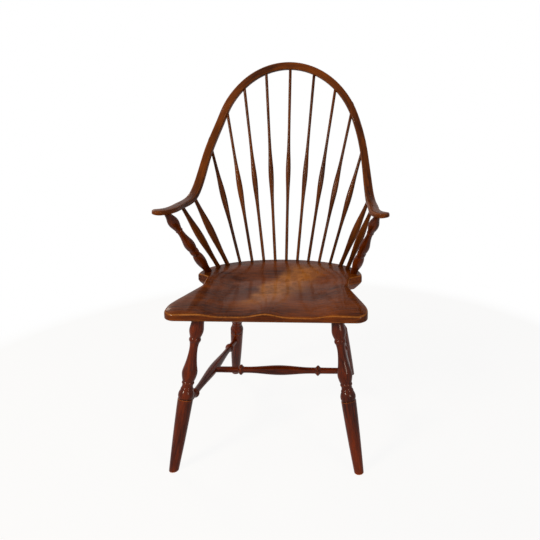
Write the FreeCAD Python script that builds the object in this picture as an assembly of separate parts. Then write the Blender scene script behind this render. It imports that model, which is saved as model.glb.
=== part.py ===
import FreeCAD, Part
import math
import os

# Continuous-arm windsor chair, in millimetres.
# +X is the viewer's right, -Y is the front of the chair, +Z is up.
# Lengths along Y are first measured from the middle of the spindle deck's curve,
# and the whole chair is moved at the end so that its origin is on the floor,
# in the middle of its footprint.

# Seat plank, with the corners of its outline on the right side
SEAT_TOP = 439.0
SEAT_THICKNESS = 46.0
SEAT_FRONT_Y = -273.0
SEAT_WING_HALF = 258.5
SEAT_WING_DEPTH = 49.0
SEAT_WAIST_HALF = 203.5
SEAT_WAIST_Y = -90.0
SEAT_NOTCH_Y = -30.0
SEAT_EAR_Y = -8.0
SEAT_FRONT_RADIUS = 28.0
SEAT_WING_RADIUS = 70.0
SEAT_WAIST_RADIUS = 60.0
SEAT_NOTCH_RADIUS = 8.0
SEAT_EAR_RADIUS = 9.0

# Half an ellipse on which the uprights stand, and the rim of the plank outside it
DECK_HALF_WIDTH = 213.0
DECK_DEPTH = 128.0
DECK_SIDE_RIM = 24.0
DECK_REAR_RIM = 14.0
RIM_ROUNDING = 7.5

# Carving of the seat
SADDLE_DEPTH = 17.0
SADDLE_LIFT = 0.5
SADDLE_MARGIN = 20.0
SADDLE_BACK_Y = -60.0
SADDLE_START_RATIO = 1.037
SADDLE_SIDE_SLOPE = 0.45
SADDLE_BACK_SLOPE = 0.95
POMMEL_HEIGHT = 9.0
POMMEL_WIDTH = 36.0
POMMEL_START_Y = -110.0
WATERFALL_DROP = 8.0
WATERFALL_DEPTH = 92.0
WING_DROP = 9.0
WING_START_RATIO = 0.6
WING_SLOPE = 0.5
EDGE_ROLL_DROP = 4.0
EDGE_ROLL_WIDTH = 28.0
EDGE_ROLL_START_Y = -50.0
EDGE_ROLL_START_X = 150.0
EDGE_ROLL_BLEND = 50.0
BEVEL_FRONT_HEIGHT = 8.5
BEVEL_EAR_HEIGHT = 24.0
BEVEL_WIDTH = 22.0
CARVING_STEP = 12.0

# Bow: a hoop of half an ellipse in a raked plane that runs on into both arms
HOOP_HALF_WIDTH = 224.4
HOOP_RISE = 264.6
HOOP_CENTRE_UP_SLOPE = 809.4
HOOP_RAKE = 0.309
HOOP_FOOT_Y = -24.0
HOOP_LAST_ANGLE = 70.0
HOOP_ANGLE_STEP = 10.0
# Points on the centre line of the right arm, from the hoop to the end of the hand
ARM_BEND_UPPER = (237.8, 165.2, 764.8)
ARM_BEND_LOWER = (258.6, 45.6, 651.2)
ARM_MIDDLE = (268.2, -40.0, 646.0)
ARM_OVER_POST = (280.2, -119.8, 648.7)
HAND_END = (305.6, -154.6, 652.4)
# Sections of the bow: distance along it from the crown, width across it, and depth
BOW_SECTIONS = (
    (0.0, 23.2, 20.4),
    (150.0, 23.2, 22.0),
    (300.0, 23.4, 24.8),
    (430.0, 23.6, 24.0),
    (530.0, 25.6, 19.8),
    (610.0, 28.0, 17.0),
    (700.0, 29.5, 15.8),
    (750.0, 33.0, 15.0),
    (780.0, 37.5, 14.4),
)
BOW_STEP = 26.0
BOW_TURN_START = 430.0
BOW_TURN_END = 600.0
HAND_ROUNDING = 17.0
HAND_ROUNDING_ANGLES = (30.0, 55.0, 75.0)

# Back spindles
BACK_SPINDLES_A_SIDE = 4
BACK_SPINDLE_PITCH = 34.2
BACK_SPINDLE_END = 8.8
BACK_SPINDLE_SWELL_HALF = 92.0
BACK_SPINDLE_TENON = 7.6
# From the centre outwards: distance along the bow from the crown to the spindle's head,
# height of its swell above the deck, and diameter of its swell
BACK_SPINDLE_REACH = (0.0, 78.0, 161.0, 253.0, 390.0)
BACK_SPINDLE_SWELL_RISE = (280.0, 268.0, 254.0, 232.0, 210.0)
BACK_SPINDLE_SWELL = (15.0, 16.0, 16.6, 17.2, 17.4)

# Arm spindles, rear one first: where they meet the arm is measured back from the post
ARM_SPINDLE_FEET = (169.8, 192.4)
ARM_SPINDLE_BEHIND_POST = (178.0, 88.0)
ARM_SPINDLE_INSET = 3.0
ARM_SPINDLE_FOOT = 13.2
ARM_SPINDLE_SWELL = 21.0
ARM_SPINDLE_SWELL_AT = 0.52
ARM_SPINDLE_TOP = 10.6
ARM_SPINDLE_TENON = 9.0
ARM_SPINDLE_FOOT_TENON = 11.0

# Arm posts: turning given as height above the deck and diameter. Where a post meets the
# arm is measured back along it from the end of the hand.
ARM_POST_FOOT = 211.9
ARM_POST_BEHIND_HAND = 39.4
ARM_POST_TENON = 13.0
ARM_POST_FOOT_TENON = 15.0
ARM_POST_TURNING = (
    ((-12.0, 18.6), (6.0, 19.0), (20.0, 20.8), (34.0, 25.4), (48.0, 29.0), (60.0, 29.0),
     (71.0, 26.4), (80.0, 20.8)),
    ((80.0, 20.8), (86.0, 24.4), (92.0, 25.4), (98.0, 24.0)),
    ((98.0, 24.0), (100.5, 22.8), (103.0, 24.8)),
    ((103.0, 24.8), (112.0, 28.0), (121.0, 29.4), (132.0, 27.4), (146.0, 22.2),
     (160.0, 18.4), (173.0, 16.8), (180.0, 17.2)),
    ((180.0, 17.2), (182.5, 20.2), (185.0, 18.2)),
    ((185.0, 18.2), (196.0, 22.4), (208.0, 27.8), (216.0, 29.0), (225.0, 27.0),
     (235.0, 21.4), (245.0, 17.4), (266.0, 16.2)),
)

# Legs: turning given as distance above its lowest groove and diameter
FRONT_LEG_TOP = (178.4, -226.0)
FRONT_LEG_FOOT = (240.4, -300.0)
FRONT_LEG_GROOVE_DROP = 212.0
REAR_LEG_TOP = (140.0, 76.0)
REAR_LEG_FOOT = (196.0, 245.0)
REAR_LEG_GROOVE_DROP = 226.0
LEG_TOP_DIAMETER = 31.0
LEG_FOOT_DIAMETER = 24.4
LEG_SHOULDER_DIAMETER = 39.2
LEG_TAPER_BELLY = 1.6
LEG_TENON = 24.0
LEG_TENON_LENGTH = 24.0
LEG_FOOT_EDGE = 1.6
LEG_TURNING = (
    ((-2.0, 39.2), (0.0, 34.0), (1.5, 37.2)),
    ((1.5, 37.2), (5.0, 39.4), (9.5, 40.2), (16.0, 37.8), (22.5, 32.4)),
    ((22.5, 32.4), (25.5, 32.6), (28.5, 29.6)),
    ((28.5, 29.6), (33.5, 27.6), (37.5, 28.8)),
    ((37.5, 28.8), (41.0, 31.8), (44.8, 29.0)),
    ((44.8, 29.0), (50.0, 32.4), (58.0, 36.6), (68.0, 38.9), (80.0, 35.0), (94.0, 28.8),
     (108.0, 24.6), (121.0, 21.8), (133.0, 21.2), (142.0, 22.6), (148.0, 25.4)),
    ((148.0, 25.4), (154.0, 30.4), (160.5, 26.6)),
    ((160.5, 26.6), (167.0, 31.4), (178.0, 36.4), (192.0, 34.2), (208.0, 31.2)),
)

# Stretchers, with the heights at which they meet the legs
SIDE_STRETCHER_FRONT_Z = 165.0
SIDE_STRETCHER_REAR_Z = 154.0
SIDE_STRETCHER_END = 16.0
SIDE_STRETCHER_RING = 26.5
SIDE_STRETCHER_RING_INSET = 74.0
SIDE_STRETCHER_NECK = 17.0
SIDE_STRETCHER_SWELL = 27.0
SIDE_STRETCHER_TENON = 12.5
CENTRE_STRETCHER_RATIO = 0.49
CENTRE_STRETCHER_END = 17.0
CENTRE_STRETCHER_RING = 30.0
CENTRE_STRETCHER_RING_X = 112.0
CENTRE_STRETCHER_NECK = 18.0
CENTRE_STRETCHER_SWELL = 28.0
CENTRE_STRETCHER_TENON = 12.0
RING_HALF_WIDTH = 8.0
RING_HALF_TOP = 2.2

# Joints: every tenon has this much glue room round it and at its end
GLUE_GAP = 0.1
SOCKET_END_GAP = 0.5
SOCKET_DEPTH = 24.0
WEDGE_THICKNESS = 2.4
WEDGE_POINT = 0.8
WEDGE_DEPTH = 10.0
WEDGE_SIDE_GAP = 0.6
WEDGE_GAP = 0.05

# Room kept beyond a piece by the plain solids that trim it
SPARE = 40.0

# Keeps a share of two lengths defined where both are zero
NEARLY_NOTHING = 1e-9

UP = FreeCAD.Vector(0, 0, 1)
MIRROR_NORMAL = FreeCAD.Vector(1, 0, 0)
CENTRE = FreeCAD.Vector(0, 0, 0)
SEAT_UNDERSIDE = SEAT_TOP - SEAT_THICKNESS


def vector(x, y, z):
    return FreeCAD.Vector(x, y, z)


def mirrored(shape):
    """The same piece for the other side of the chair."""
    return shape.mirror(CENTRE, MIRROR_NORMAL)


def on_line(start, end, height):
    """The point of the line through start and end that lies at a given height."""
    share = (height - start.z) / (end.z - start.z)
    return start + (end - start) * share


def along(start, end, distance):
    """The point at a distance from start, on the way to end."""
    return start + (end - start).normalize() * distance


def cylinder(start, end, diameter):
    """A round bar between two points."""
    return Part.makeCylinder(diameter / 2, (end - start).Length, start, end - start)


def smooth_step(value):
    """Rises gently from 0 to 1 as value goes from 0 to 1."""
    held = min(1.0, max(0.0, value))
    return held * held * (3.0 - 2.0 * held)


def largest(shape):
    """The largest solid of what a cut left."""
    return max(shape.Solids, key=lambda solid: solid.Volume)


def turned(stretches, start, end):
    """A turning about the line from start to end.

    Each stretch is a list of (distance from start, diameter). Two points make a
    straight stretch, more make a smooth curve through them.
    """
    edges = []
    for stretch in stretches:
        points = [vector(diameter / 2, 0, height) for height, diameter in stretch]
        if len(points) == 2:
            edges.append(Part.makeLine(points[0], points[1]))
        else:
            curve = Part.BSplineCurve()
            curve.interpolate(points)
            edges.append(curve.toShape())
    first_height, first_diameter = stretches[0][0]
    last_height, last_diameter = stretches[-1][-1]
    low = vector(0, 0, first_height)
    high = vector(0, 0, last_height)
    edges.insert(0, Part.makeLine(low, vector(first_diameter / 2, 0, first_height)))
    edges.append(Part.makeLine(vector(last_diameter / 2, 0, last_height), high))
    edges.append(Part.makeLine(high, low))
    solid = Part.Face(Part.Wire(edges)).revolve(CENTRE, UP, 360)
    turn = FreeCAD.Rotation(UP, end - start)
    solid.Placement = FreeCAD.Placement(start, turn)
    return solid


def seat_outline(height):
    """Outline of the plank: straight front, wings, waists, notches, ears and round back.

    Each corner is rounded by an arc that touches the straight edges beside it.
    """
    half = DECK_HALF_WIDTH + DECK_SIDE_RIM
    right = [
        (SEAT_WING_HALF, SEAT_FRONT_Y, SEAT_FRONT_RADIUS),
        (SEAT_WING_HALF, SEAT_FRONT_Y + SEAT_WING_DEPTH, SEAT_WING_RADIUS),
        (SEAT_WAIST_HALF, SEAT_WAIST_Y, SEAT_WAIST_RADIUS),
        (SEAT_WAIST_HALF, SEAT_NOTCH_Y, SEAT_NOTCH_RADIUS),
        (half, SEAT_EAR_Y, SEAT_EAR_RADIUS),
    ]
    left = [(-x, y, radius) for x, y, radius in reversed(right)]
    corners = [(-half, 0.0, 0.0)] + left + right + [(half, 0.0, 0.0)]
    points = [vector(x, y, height) for x, y, radius in corners]
    edges = []
    last = points[0]
    for index in range(1, len(points) - 1):
        point = points[index]
        radius = corners[index][2]
        to_before = (points[index - 1] - point).normalize()
        to_after = (points[index + 1] - point).normalize()
        half_angle = to_before.getAngle(to_after) / 2
        reach = radius / math.tan(half_angle)
        bisector = (to_before + to_after).normalize()
        start = point + to_before * reach
        middle = point + bisector * (radius / math.sin(half_angle) - radius)
        end = point + to_after * reach
        edges.append(Part.makeLine(last, start))
        edges.append(Part.Arc(start, middle, end).toShape())
        last = end
    edges.append(Part.makeLine(last, points[-1]))
    back = vector(0, DECK_DEPTH + DECK_REAR_RIM, height)
    rim = Part.Ellipse(points[-1], back, vector(0, 0, height))
    edges.append(Part.Arc(rim, 0, math.pi).toShape())
    return Part.Wire(edges)


def edge_distance(x, y, rim_points):
    """How far a place on the plank is inside its outline, or outside it if negative."""
    nearest = 1e9
    inside = False
    for index, (px, py) in enumerate(rim_points):
        qx, qy = rim_points[index - 1]
        dx = qx - px
        dy = qy - py
        share = ((x - px) * dx + (y - py) * dy) / (dx * dx + dy * dy)
        share = min(1.0, max(0.0, share))
        nearest = min(nearest, (px + share * dx - x) ** 2 + (py + share * dy - y) ** 2)
        if (py > y) != (qy > y) and x < px + (y - py) * dx / dy:
            inside = not inside
    return math.sqrt(nearest) if inside else -math.sqrt(nearest)


def saddle_height(x, y, inset):
    """Height of the carved top: a bowl behind, two hollows and a pommel in front.

    The bowl falls slowly from the back and faster from the sides. Under the uprights
    the surface stays a little above the plank, which keeps the deck flat.
    """
    beside = x / (DECK_HALF_WIDTH - SADDLE_MARGIN)
    behind = max(y - SADDLE_BACK_Y, 0.0) / (DECK_DEPTH - SADDLE_MARGIN - SADDLE_BACK_Y)
    reach = math.hypot(beside, behind)
    rearward = behind * behind / (reach * reach + NEARLY_NOTHING)
    slope = SADDLE_SIDE_SLOPE + (SADDLE_BACK_SLOPE - SADDLE_SIDE_SLOPE) * rearward
    height = SEAT_TOP + SADDLE_LIFT
    height -= (SADDLE_DEPTH + SADDLE_LIFT) * smooth_step((SADDLE_START_RATIO - reach) / slope)
    forward = (POMMEL_START_Y - y) / (POMMEL_START_Y - SEAT_FRONT_Y)
    height += POMMEL_HEIGHT * math.exp(-(x / POMMEL_WIDTH) ** 2) * smooth_step(forward)
    fall = max(0.0, SEAT_FRONT_Y + WATERFALL_DEPTH - y) / WATERFALL_DEPTH
    height -= WATERFALL_DROP * fall ** 2
    height -= (WING_DROP * smooth_step(y / SEAT_FRONT_Y)
               * smooth_step((reach - WING_START_RATIO) / WING_SLOPE))
    roll = max(0.0, 1.0 - inset / EDGE_ROLL_WIDTH)
    ahead = smooth_step((EDGE_ROLL_START_Y - y) / EDGE_ROLL_BLEND)
    outside = smooth_step((abs(x) - EDGE_ROLL_START_X) / EDGE_ROLL_BLEND)
    return height - EDGE_ROLL_DROP * ahead * outside * roll ** 2


def bevel_height(y, inset):
    """Height of the worked underside near the edge of the plank."""
    share = smooth_step((y - SEAT_FRONT_Y) / (SEAT_WAIST_Y - SEAT_FRONT_Y))
    height = BEVEL_FRONT_HEIGHT + (BEVEL_EAR_HEIGHT - BEVEL_FRONT_HEIGHT) * share
    return SEAT_UNDERSIDE + height * (1.0 - min(inset, 2 * BEVEL_WIDTH) / BEVEL_WIDTH)


def carving(height_of, side, rim_points):
    """A block above (side 1) or below (side -1) a carved surface over the whole plank."""
    reach_x = SEAT_WING_HALF + CARVING_STEP
    low_y = SEAT_FRONT_Y - CARVING_STEP
    high_y = DECK_DEPTH + DECK_REAR_RIM + CARVING_STEP
    columns = 2 * int(reach_x / CARVING_STEP)
    rows = int((high_y - low_y) / CARVING_STEP)
    grid = []
    for column in range(columns + 1):
        x = -reach_x + 2 * reach_x * column / columns
        line = []
        for row in range(rows + 1):
            y = low_y + (high_y - low_y) * row / rows
            height = height_of(x, y, edge_distance(x, y, rim_points))
            line.append(vector(x, y, height))
        grid.append(line)
    surface = Part.BSplineSurface()
    surface.interpolate(grid)
    return surface.toShape().extrude(vector(0, 0, side * SPARE))


def seat_blank():
    """The carved plank before its sockets are bored."""
    wire = seat_outline(SEAT_UNDERSIDE)
    plank = Part.Face(wire).extrude(vector(0, 0, SEAT_THICKNESS))
    arris = [edge for edge in plank.Edges if edge.BoundBox.ZMin > SEAT_TOP - RIM_ROUNDING]
    plank = plank.makeFillet(RIM_ROUNDING, arris)
    rim_points = [(p.x, p.y) for p in wire.discretize(Number=300)[:-1]]
    top = carving(saddle_height, 1, rim_points)
    below = carving(lambda x, y, inset: bevel_height(y, inset), -1, rim_points)
    return largest(plank.cut(top).cut(below))


def deck_point(x):
    """Place on the seat's deck of an upright whose foot is at x."""
    y = DECK_DEPTH * math.sqrt(1.0 - (x / DECK_HALF_WIDTH) ** 2)
    return vector(x, y, SEAT_TOP)


def bow_curve():
    """Centre line of the bow, from the left hand over the crown to the right hand."""
    slope = math.atan(HOOP_RAKE)
    half = []
    for step in range(int(HOOP_LAST_ANGLE / HOOP_ANGLE_STEP) + 1):
        angle = math.radians(step * HOOP_ANGLE_STEP)
        up_slope = HOOP_CENTRE_UP_SLOPE + HOOP_RISE * math.cos(angle)
        y = HOOP_FOOT_Y + up_slope * math.sin(slope)
        half.append(vector(HOOP_HALF_WIDTH * math.sin(angle), y, up_slope * math.cos(slope)))
    arm = (ARM_BEND_UPPER, ARM_BEND_LOWER, ARM_MIDDLE, ARM_OVER_POST, HAND_END)
    half.extend(vector(*point) for point in arm)
    left = [vector(-point.x, point.y, point.z) for point in reversed(half[1:])]
    curve = Part.BSplineCurve()
    curve.interpolate(left + half)
    return curve


def crown_parameter(curve):
    """Parameter of the middle of the bow."""
    return (curve.FirstParameter + curve.LastParameter) / 2


def bow_point(curve, distance):
    """Point and directions of the bow at a distance from the crown, right side positive.

    The directions are along the bow, outwards across it, and out of its face. The face
    looks forward on the hoop and turns up along the arms.
    """
    parameter = curve.parameterAtDistance(distance, crown_parameter(curve))
    tangent = curve.tangent(parameter)[0]
    slope = math.atan(HOOP_RAKE)
    turn = smooth_step((abs(distance) - BOW_TURN_START) / (BOW_TURN_END - BOW_TURN_START))
    forward = vector(0, -math.cos(slope), math.sin(slope))
    face = forward * (1.0 - turn) + UP * turn
    outward = face.cross(tangent).normalize()
    return curve.value(parameter), tangent, outward, tangent.cross(outward)


def bow_size(distance):
    """Width and depth of the bow at a distance from the crown."""
    place = abs(distance)
    for (low, low_width, low_depth), (high, high_width, high_depth) in zip(
            BOW_SECTIONS, BOW_SECTIONS[1:]):
        if place <= high:
            share = smooth_step((place - low) / (high - low))
            width = low_width + (high_width - low_width) * share
            return width, low_depth + (high_depth - low_depth) * share
    return high_width, high_depth


def bow_ring(curve, distance, shrink):
    """Eight points round the bow that pull its surface into a soft rectangle."""
    centre, tangent, outward, face = bow_point(curve, distance)
    width, depth = bow_size(distance)
    across = outward * (width * shrink / 2)
    out = face * (depth * (1.0 + shrink) / 4)
    corners = ((1, 0), (1, 1), (0, 1), (-1, 1), (-1, 0), (-1, -1), (0, -1), (1, -1))
    return [centre + across * i + out * j for i, j in corners]


def bow_blank(curve):
    """The bent bow before it is bored: one surface round it and a cap at each hand."""
    plain = curve.length() / 2 - HAND_ROUNDING
    count = int(plain / BOW_STEP)
    stations = [(plain * index / count, 1.0) for index in range(count + 1)]
    for angle in HAND_ROUNDING_ANGLES:
        turn = math.radians(angle)
        stations.append((plain + HAND_ROUNDING * math.sin(turn), math.cos(turn)))
    stations = [(-distance, share) for distance, share in reversed(stations[1:])] + stations
    rings = [bow_ring(curve, distance, share) for distance, share in stations]
    distances = [distance for distance, share in stations]
    rows = []
    for number in range(len(rings[0])):
        line = Part.BSplineCurve()
        line.interpolate(Points=[ring[number] for ring in rings], Parameters=distances)
        rows.append(line.getPoles())
    round_knots = [float(number) for number in range(len(rows) + 1)]
    surface = Part.BSplineSurface()
    surface.buildFromPolesMultsKnots(
        rows, [1] * len(round_knots), line.getMultiplicities(), round_knots, line.getKnots(),
        True, False, line.Degree, line.Degree)
    faces = [surface.toShape()]
    for distance in (distances[0], distances[-1]):
        faces.append(Part.Face(Part.Wire(surface.vIso(distance).toShape())))
    shell = Part.makeShell(faces)
    shell.sewShape()
    solid = Part.makeSolid(shell)
    if solid.Volume < 0:
        solid.reverse()
    return solid


def halfspace(point, up):
    """A wide block above (up true) or below a level."""
    size = 3000.0
    low = point if up else point - size
    return Part.makeBox(size, size, size, vector(-size / 2, -size / 2, low))


def wedge(point, direction, across, diameter, gap):
    """A wedge driven down a through tenon from beyond the bow, or with a gap its slot."""
    beside = direction.cross(across).normalize()
    half_width = diameter / 2 - WEDGE_SIDE_GAP if gap == 0 else diameter
    depth = WEDGE_DEPTH + gap
    top = point + direction * (SPARE / 4)
    spread = (WEDGE_THICKNESS - WEDGE_POINT) / 2
    rise = (SPARE / 4 + depth) / WEDGE_DEPTH
    half_top = WEDGE_POINT / 2 + gap + spread * rise
    half_low = WEDGE_POINT / 2 + gap
    low = point - direction * depth
    corners = [
        low - beside * half_low,
        low + beside * half_low,
        top + beside * half_top,
        top - beside * half_top,
    ]
    corners = [c - across * half_width for c in corners]
    face = Part.Face(Part.makePolygon(corners + [corners[0]]))
    return face.extrude(across * (2 * half_width))


class Upright:
    """A spindle or post: its foot stands in the seat, its head goes through the bow."""

    def __init__(self, foot, head, stretches, foot_tenon, head_tenon, along_bow, bow):
        self.direction = (head - foot).normalize()
        deep = SOCKET_DEPTH / self.direction.z
        self.foot_end = foot - self.direction * deep
        beyond = head + self.direction * SPARE
        body = turned(stretches, foot, head)
        body = body.cut(halfspace(SEAT_TOP, False))
        body = largest(body.cut(bow))
        low_tenon = cylinder(self.foot_end, foot + self.direction * 2.0, foot_tenon)
        inside = head - self.direction * (SPARE / 2)
        outer = cylinder(head, beyond, head_tenon + SPARE / 4).cut(bow)
        high_tenon = cylinder(inside, beyond, head_tenon)
        high_tenon = high_tenon.cut(outer)
        slot_point = self.exit_point(head, high_tenon)
        across = along_bow.cross(self.direction).normalize()
        self.wedge = wedge(slot_point, self.direction, across, head_tenon, 0)
        self.wedge = largest(self.wedge.cut(outer))
        slot = wedge(slot_point, self.direction, across, head_tenon, WEDGE_GAP)
        solid = body.fuse([low_tenon, high_tenon]).cut(slot)
        self.solid = largest(solid)
        bore = head_tenon + 2 * GLUE_GAP
        self.bow_bore = cylinder(head - self.direction * SPARE, beyond, bore)
        socket = foot_tenon + 2 * GLUE_GAP
        low = self.foot_end - self.direction * SOCKET_END_GAP
        self.seat_bore = cylinder(low, foot + self.direction * SPARE, socket)

    def exit_point(self, head, tenon):
        """Where the middle of the tenon comes out of the bow."""
        axis = Part.makeLine(head, head + self.direction * SPARE)
        inside = axis.common(tenon)
        return max((v.Point for v in inside.Vertexes), key=lambda p: (p - head).Length)


def back_spindle_turning(length, middle, diameter):
    """Slender ends and a long swell between them."""
    reach = BACK_SPINDLE_SWELL_HALF
    extra = diameter - BACK_SPINDLE_END
    shape = ((-1.0, 0.12), (-0.66, 0.38), (-0.32, 0.8), (0.0, 1.0),
             (0.32, 0.8), (0.66, 0.36), (1.0, 0.1))
    swell = [(middle + reach * s, BACK_SPINDLE_END + extra * d) for s, d in shape]
    start = [(-6.0, BACK_SPINDLE_END), (middle / 3, BACK_SPINDLE_END + extra * 0.04)]
    end = [((length + middle + reach) / 2, BACK_SPINDLE_END), (length, BACK_SPINDLE_END)]
    return (start + swell + end,)


def arm_spindle_turning(length):
    """A stouter spindle with its swell at the middle."""
    foot = ARM_SPINDLE_FOOT
    top = ARM_SPINDLE_TOP
    swell = ARM_SPINDLE_SWELL
    middle = length * ARM_SPINDLE_SWELL_AT
    above = length - middle
    lower = ((0.34, 0.03), (0.6, 0.45), (0.82, 0.86))
    upper = ((0.2, 0.88), (0.47, 0.46), (0.74, 0.08))
    points = [(-6.0, foot)]
    points += [(middle * s, foot + (swell - foot) * d) for s, d in lower]
    points.append((middle, swell))
    points += [(middle + above * s, top + (swell - top) * d) for s, d in upper]
    points.append((length, top))
    return (points,)


def post_turning(length):
    """The post's turning, with its last stretch drawn out to the arm."""
    last = ARM_POST_TURNING[-1]
    end = (length, last[-1][1])
    return ARM_POST_TURNING[:-1] + (last[:-1] + (end,),)


def leg(top_xy, foot_xy, groove_drop):
    """A leg, its axis and the bore for its tenon."""
    top = vector(top_xy[0], top_xy[1], SEAT_UNDERSIDE)
    foot = vector(foot_xy[0], foot_xy[1], 0)
    direction = (top - foot).normalize()
    groove = (top - foot).Length - groove_drop
    beyond = LEG_TOP_DIAMETER
    stretches = []
    shoulder = groove + LEG_TURNING[0][0][0]
    belly = (LEG_SHOULDER_DIAMETER + LEG_FOOT_DIAMETER) / 2 + LEG_TAPER_BELLY
    stretches.append((
        (-beyond, LEG_FOOT_DIAMETER),
        (0.0, LEG_FOOT_DIAMETER),
        (shoulder / 2, belly),
        (shoulder, LEG_SHOULDER_DIAMETER),
    ))
    for stretch in LEG_TURNING:
        stretches.append(tuple((groove + height, width) for height, width in stretch))
    last_height, last_width = stretches[-1][-1]
    end = (top - foot).Length + beyond
    stretches.append(((last_height, last_width), (end, LEG_TOP_DIAMETER)))
    body = turned(stretches, foot, top)
    body = body.cut(halfspace(SEAT_UNDERSIDE, True))
    body = body.cut(halfspace(0, False))
    sole = [e for e in body.Edges if e.BoundBox.ZMax < 0.01]
    body = body.makeFillet(LEG_FOOT_EDGE, sole)
    tenon_end = top + direction * LEG_TENON_LENGTH
    tenon = cylinder(top - direction * 2.0, tenon_end, LEG_TENON)
    bore_end = tenon_end + direction * SOCKET_END_GAP
    bore = cylinder(top - direction * SPARE, bore_end, LEG_TENON + 2 * GLUE_GAP)
    return body.fuse(tenon), foot, top, bore


def ring(middle, diameter, beside):
    """A ring on a stretcher: two sloped sides and a narrow top."""
    return (
        ((middle - RING_HALF_WIDTH, beside), (middle - RING_HALF_TOP, diameter)),
        ((middle - RING_HALF_TOP, diameter), (middle + RING_HALF_TOP, diameter)),
        ((middle + RING_HALF_TOP, diameter), (middle + RING_HALF_WIDTH, beside)),
    )


def stretcher_turning(length, end, ring_at, ring_size, neck, swell):
    """Thin ends, a ring near each, and a long swell between."""
    first = ring_at - RING_HALF_WIDTH
    second = length - ring_at + RING_HALF_WIDTH
    inner = ring_at + RING_HALF_WIDTH
    span = length - 2 * inner
    shape = ((0.0, 0.0), (0.14, 0.08), (0.3, 0.58), (0.5, 1.0), (0.7, 0.58), (0.86, 0.08),
             (1.0, 0.0))
    middle = tuple((inner + span * s, neck + (swell - neck) * d) for s, d in shape)
    low_ring = ring(ring_at, ring_size, neck)
    high_ring = ring(length - ring_at, ring_size, neck)
    start = ((0.0, end), (first, neck))
    finish = ((second, neck), (length, end))
    return (start,) + low_ring + (middle,) + high_ring + (finish,)


def stretcher(start, end, stretches, tenon, start_solid, end_solid):
    """A stretcher coped to the two pieces it joins, with its two bores.

    start and end are on the middle lines of those pieces.
    """
    body = turned(stretches, start, end)
    body = largest(body.cut(start_solid).cut(end_solid))
    pin = cylinder(start, end, tenon)
    bores = []
    for here, there in ((start, end), (end, start)):
        mouth = along(here, there, SPARE)
        bottom = along(here, there, -SOCKET_END_GAP)
        bores.append(cylinder(bottom, mouth, tenon + 2 * GLUE_GAP))
    return body.fuse(pin), bores


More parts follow.
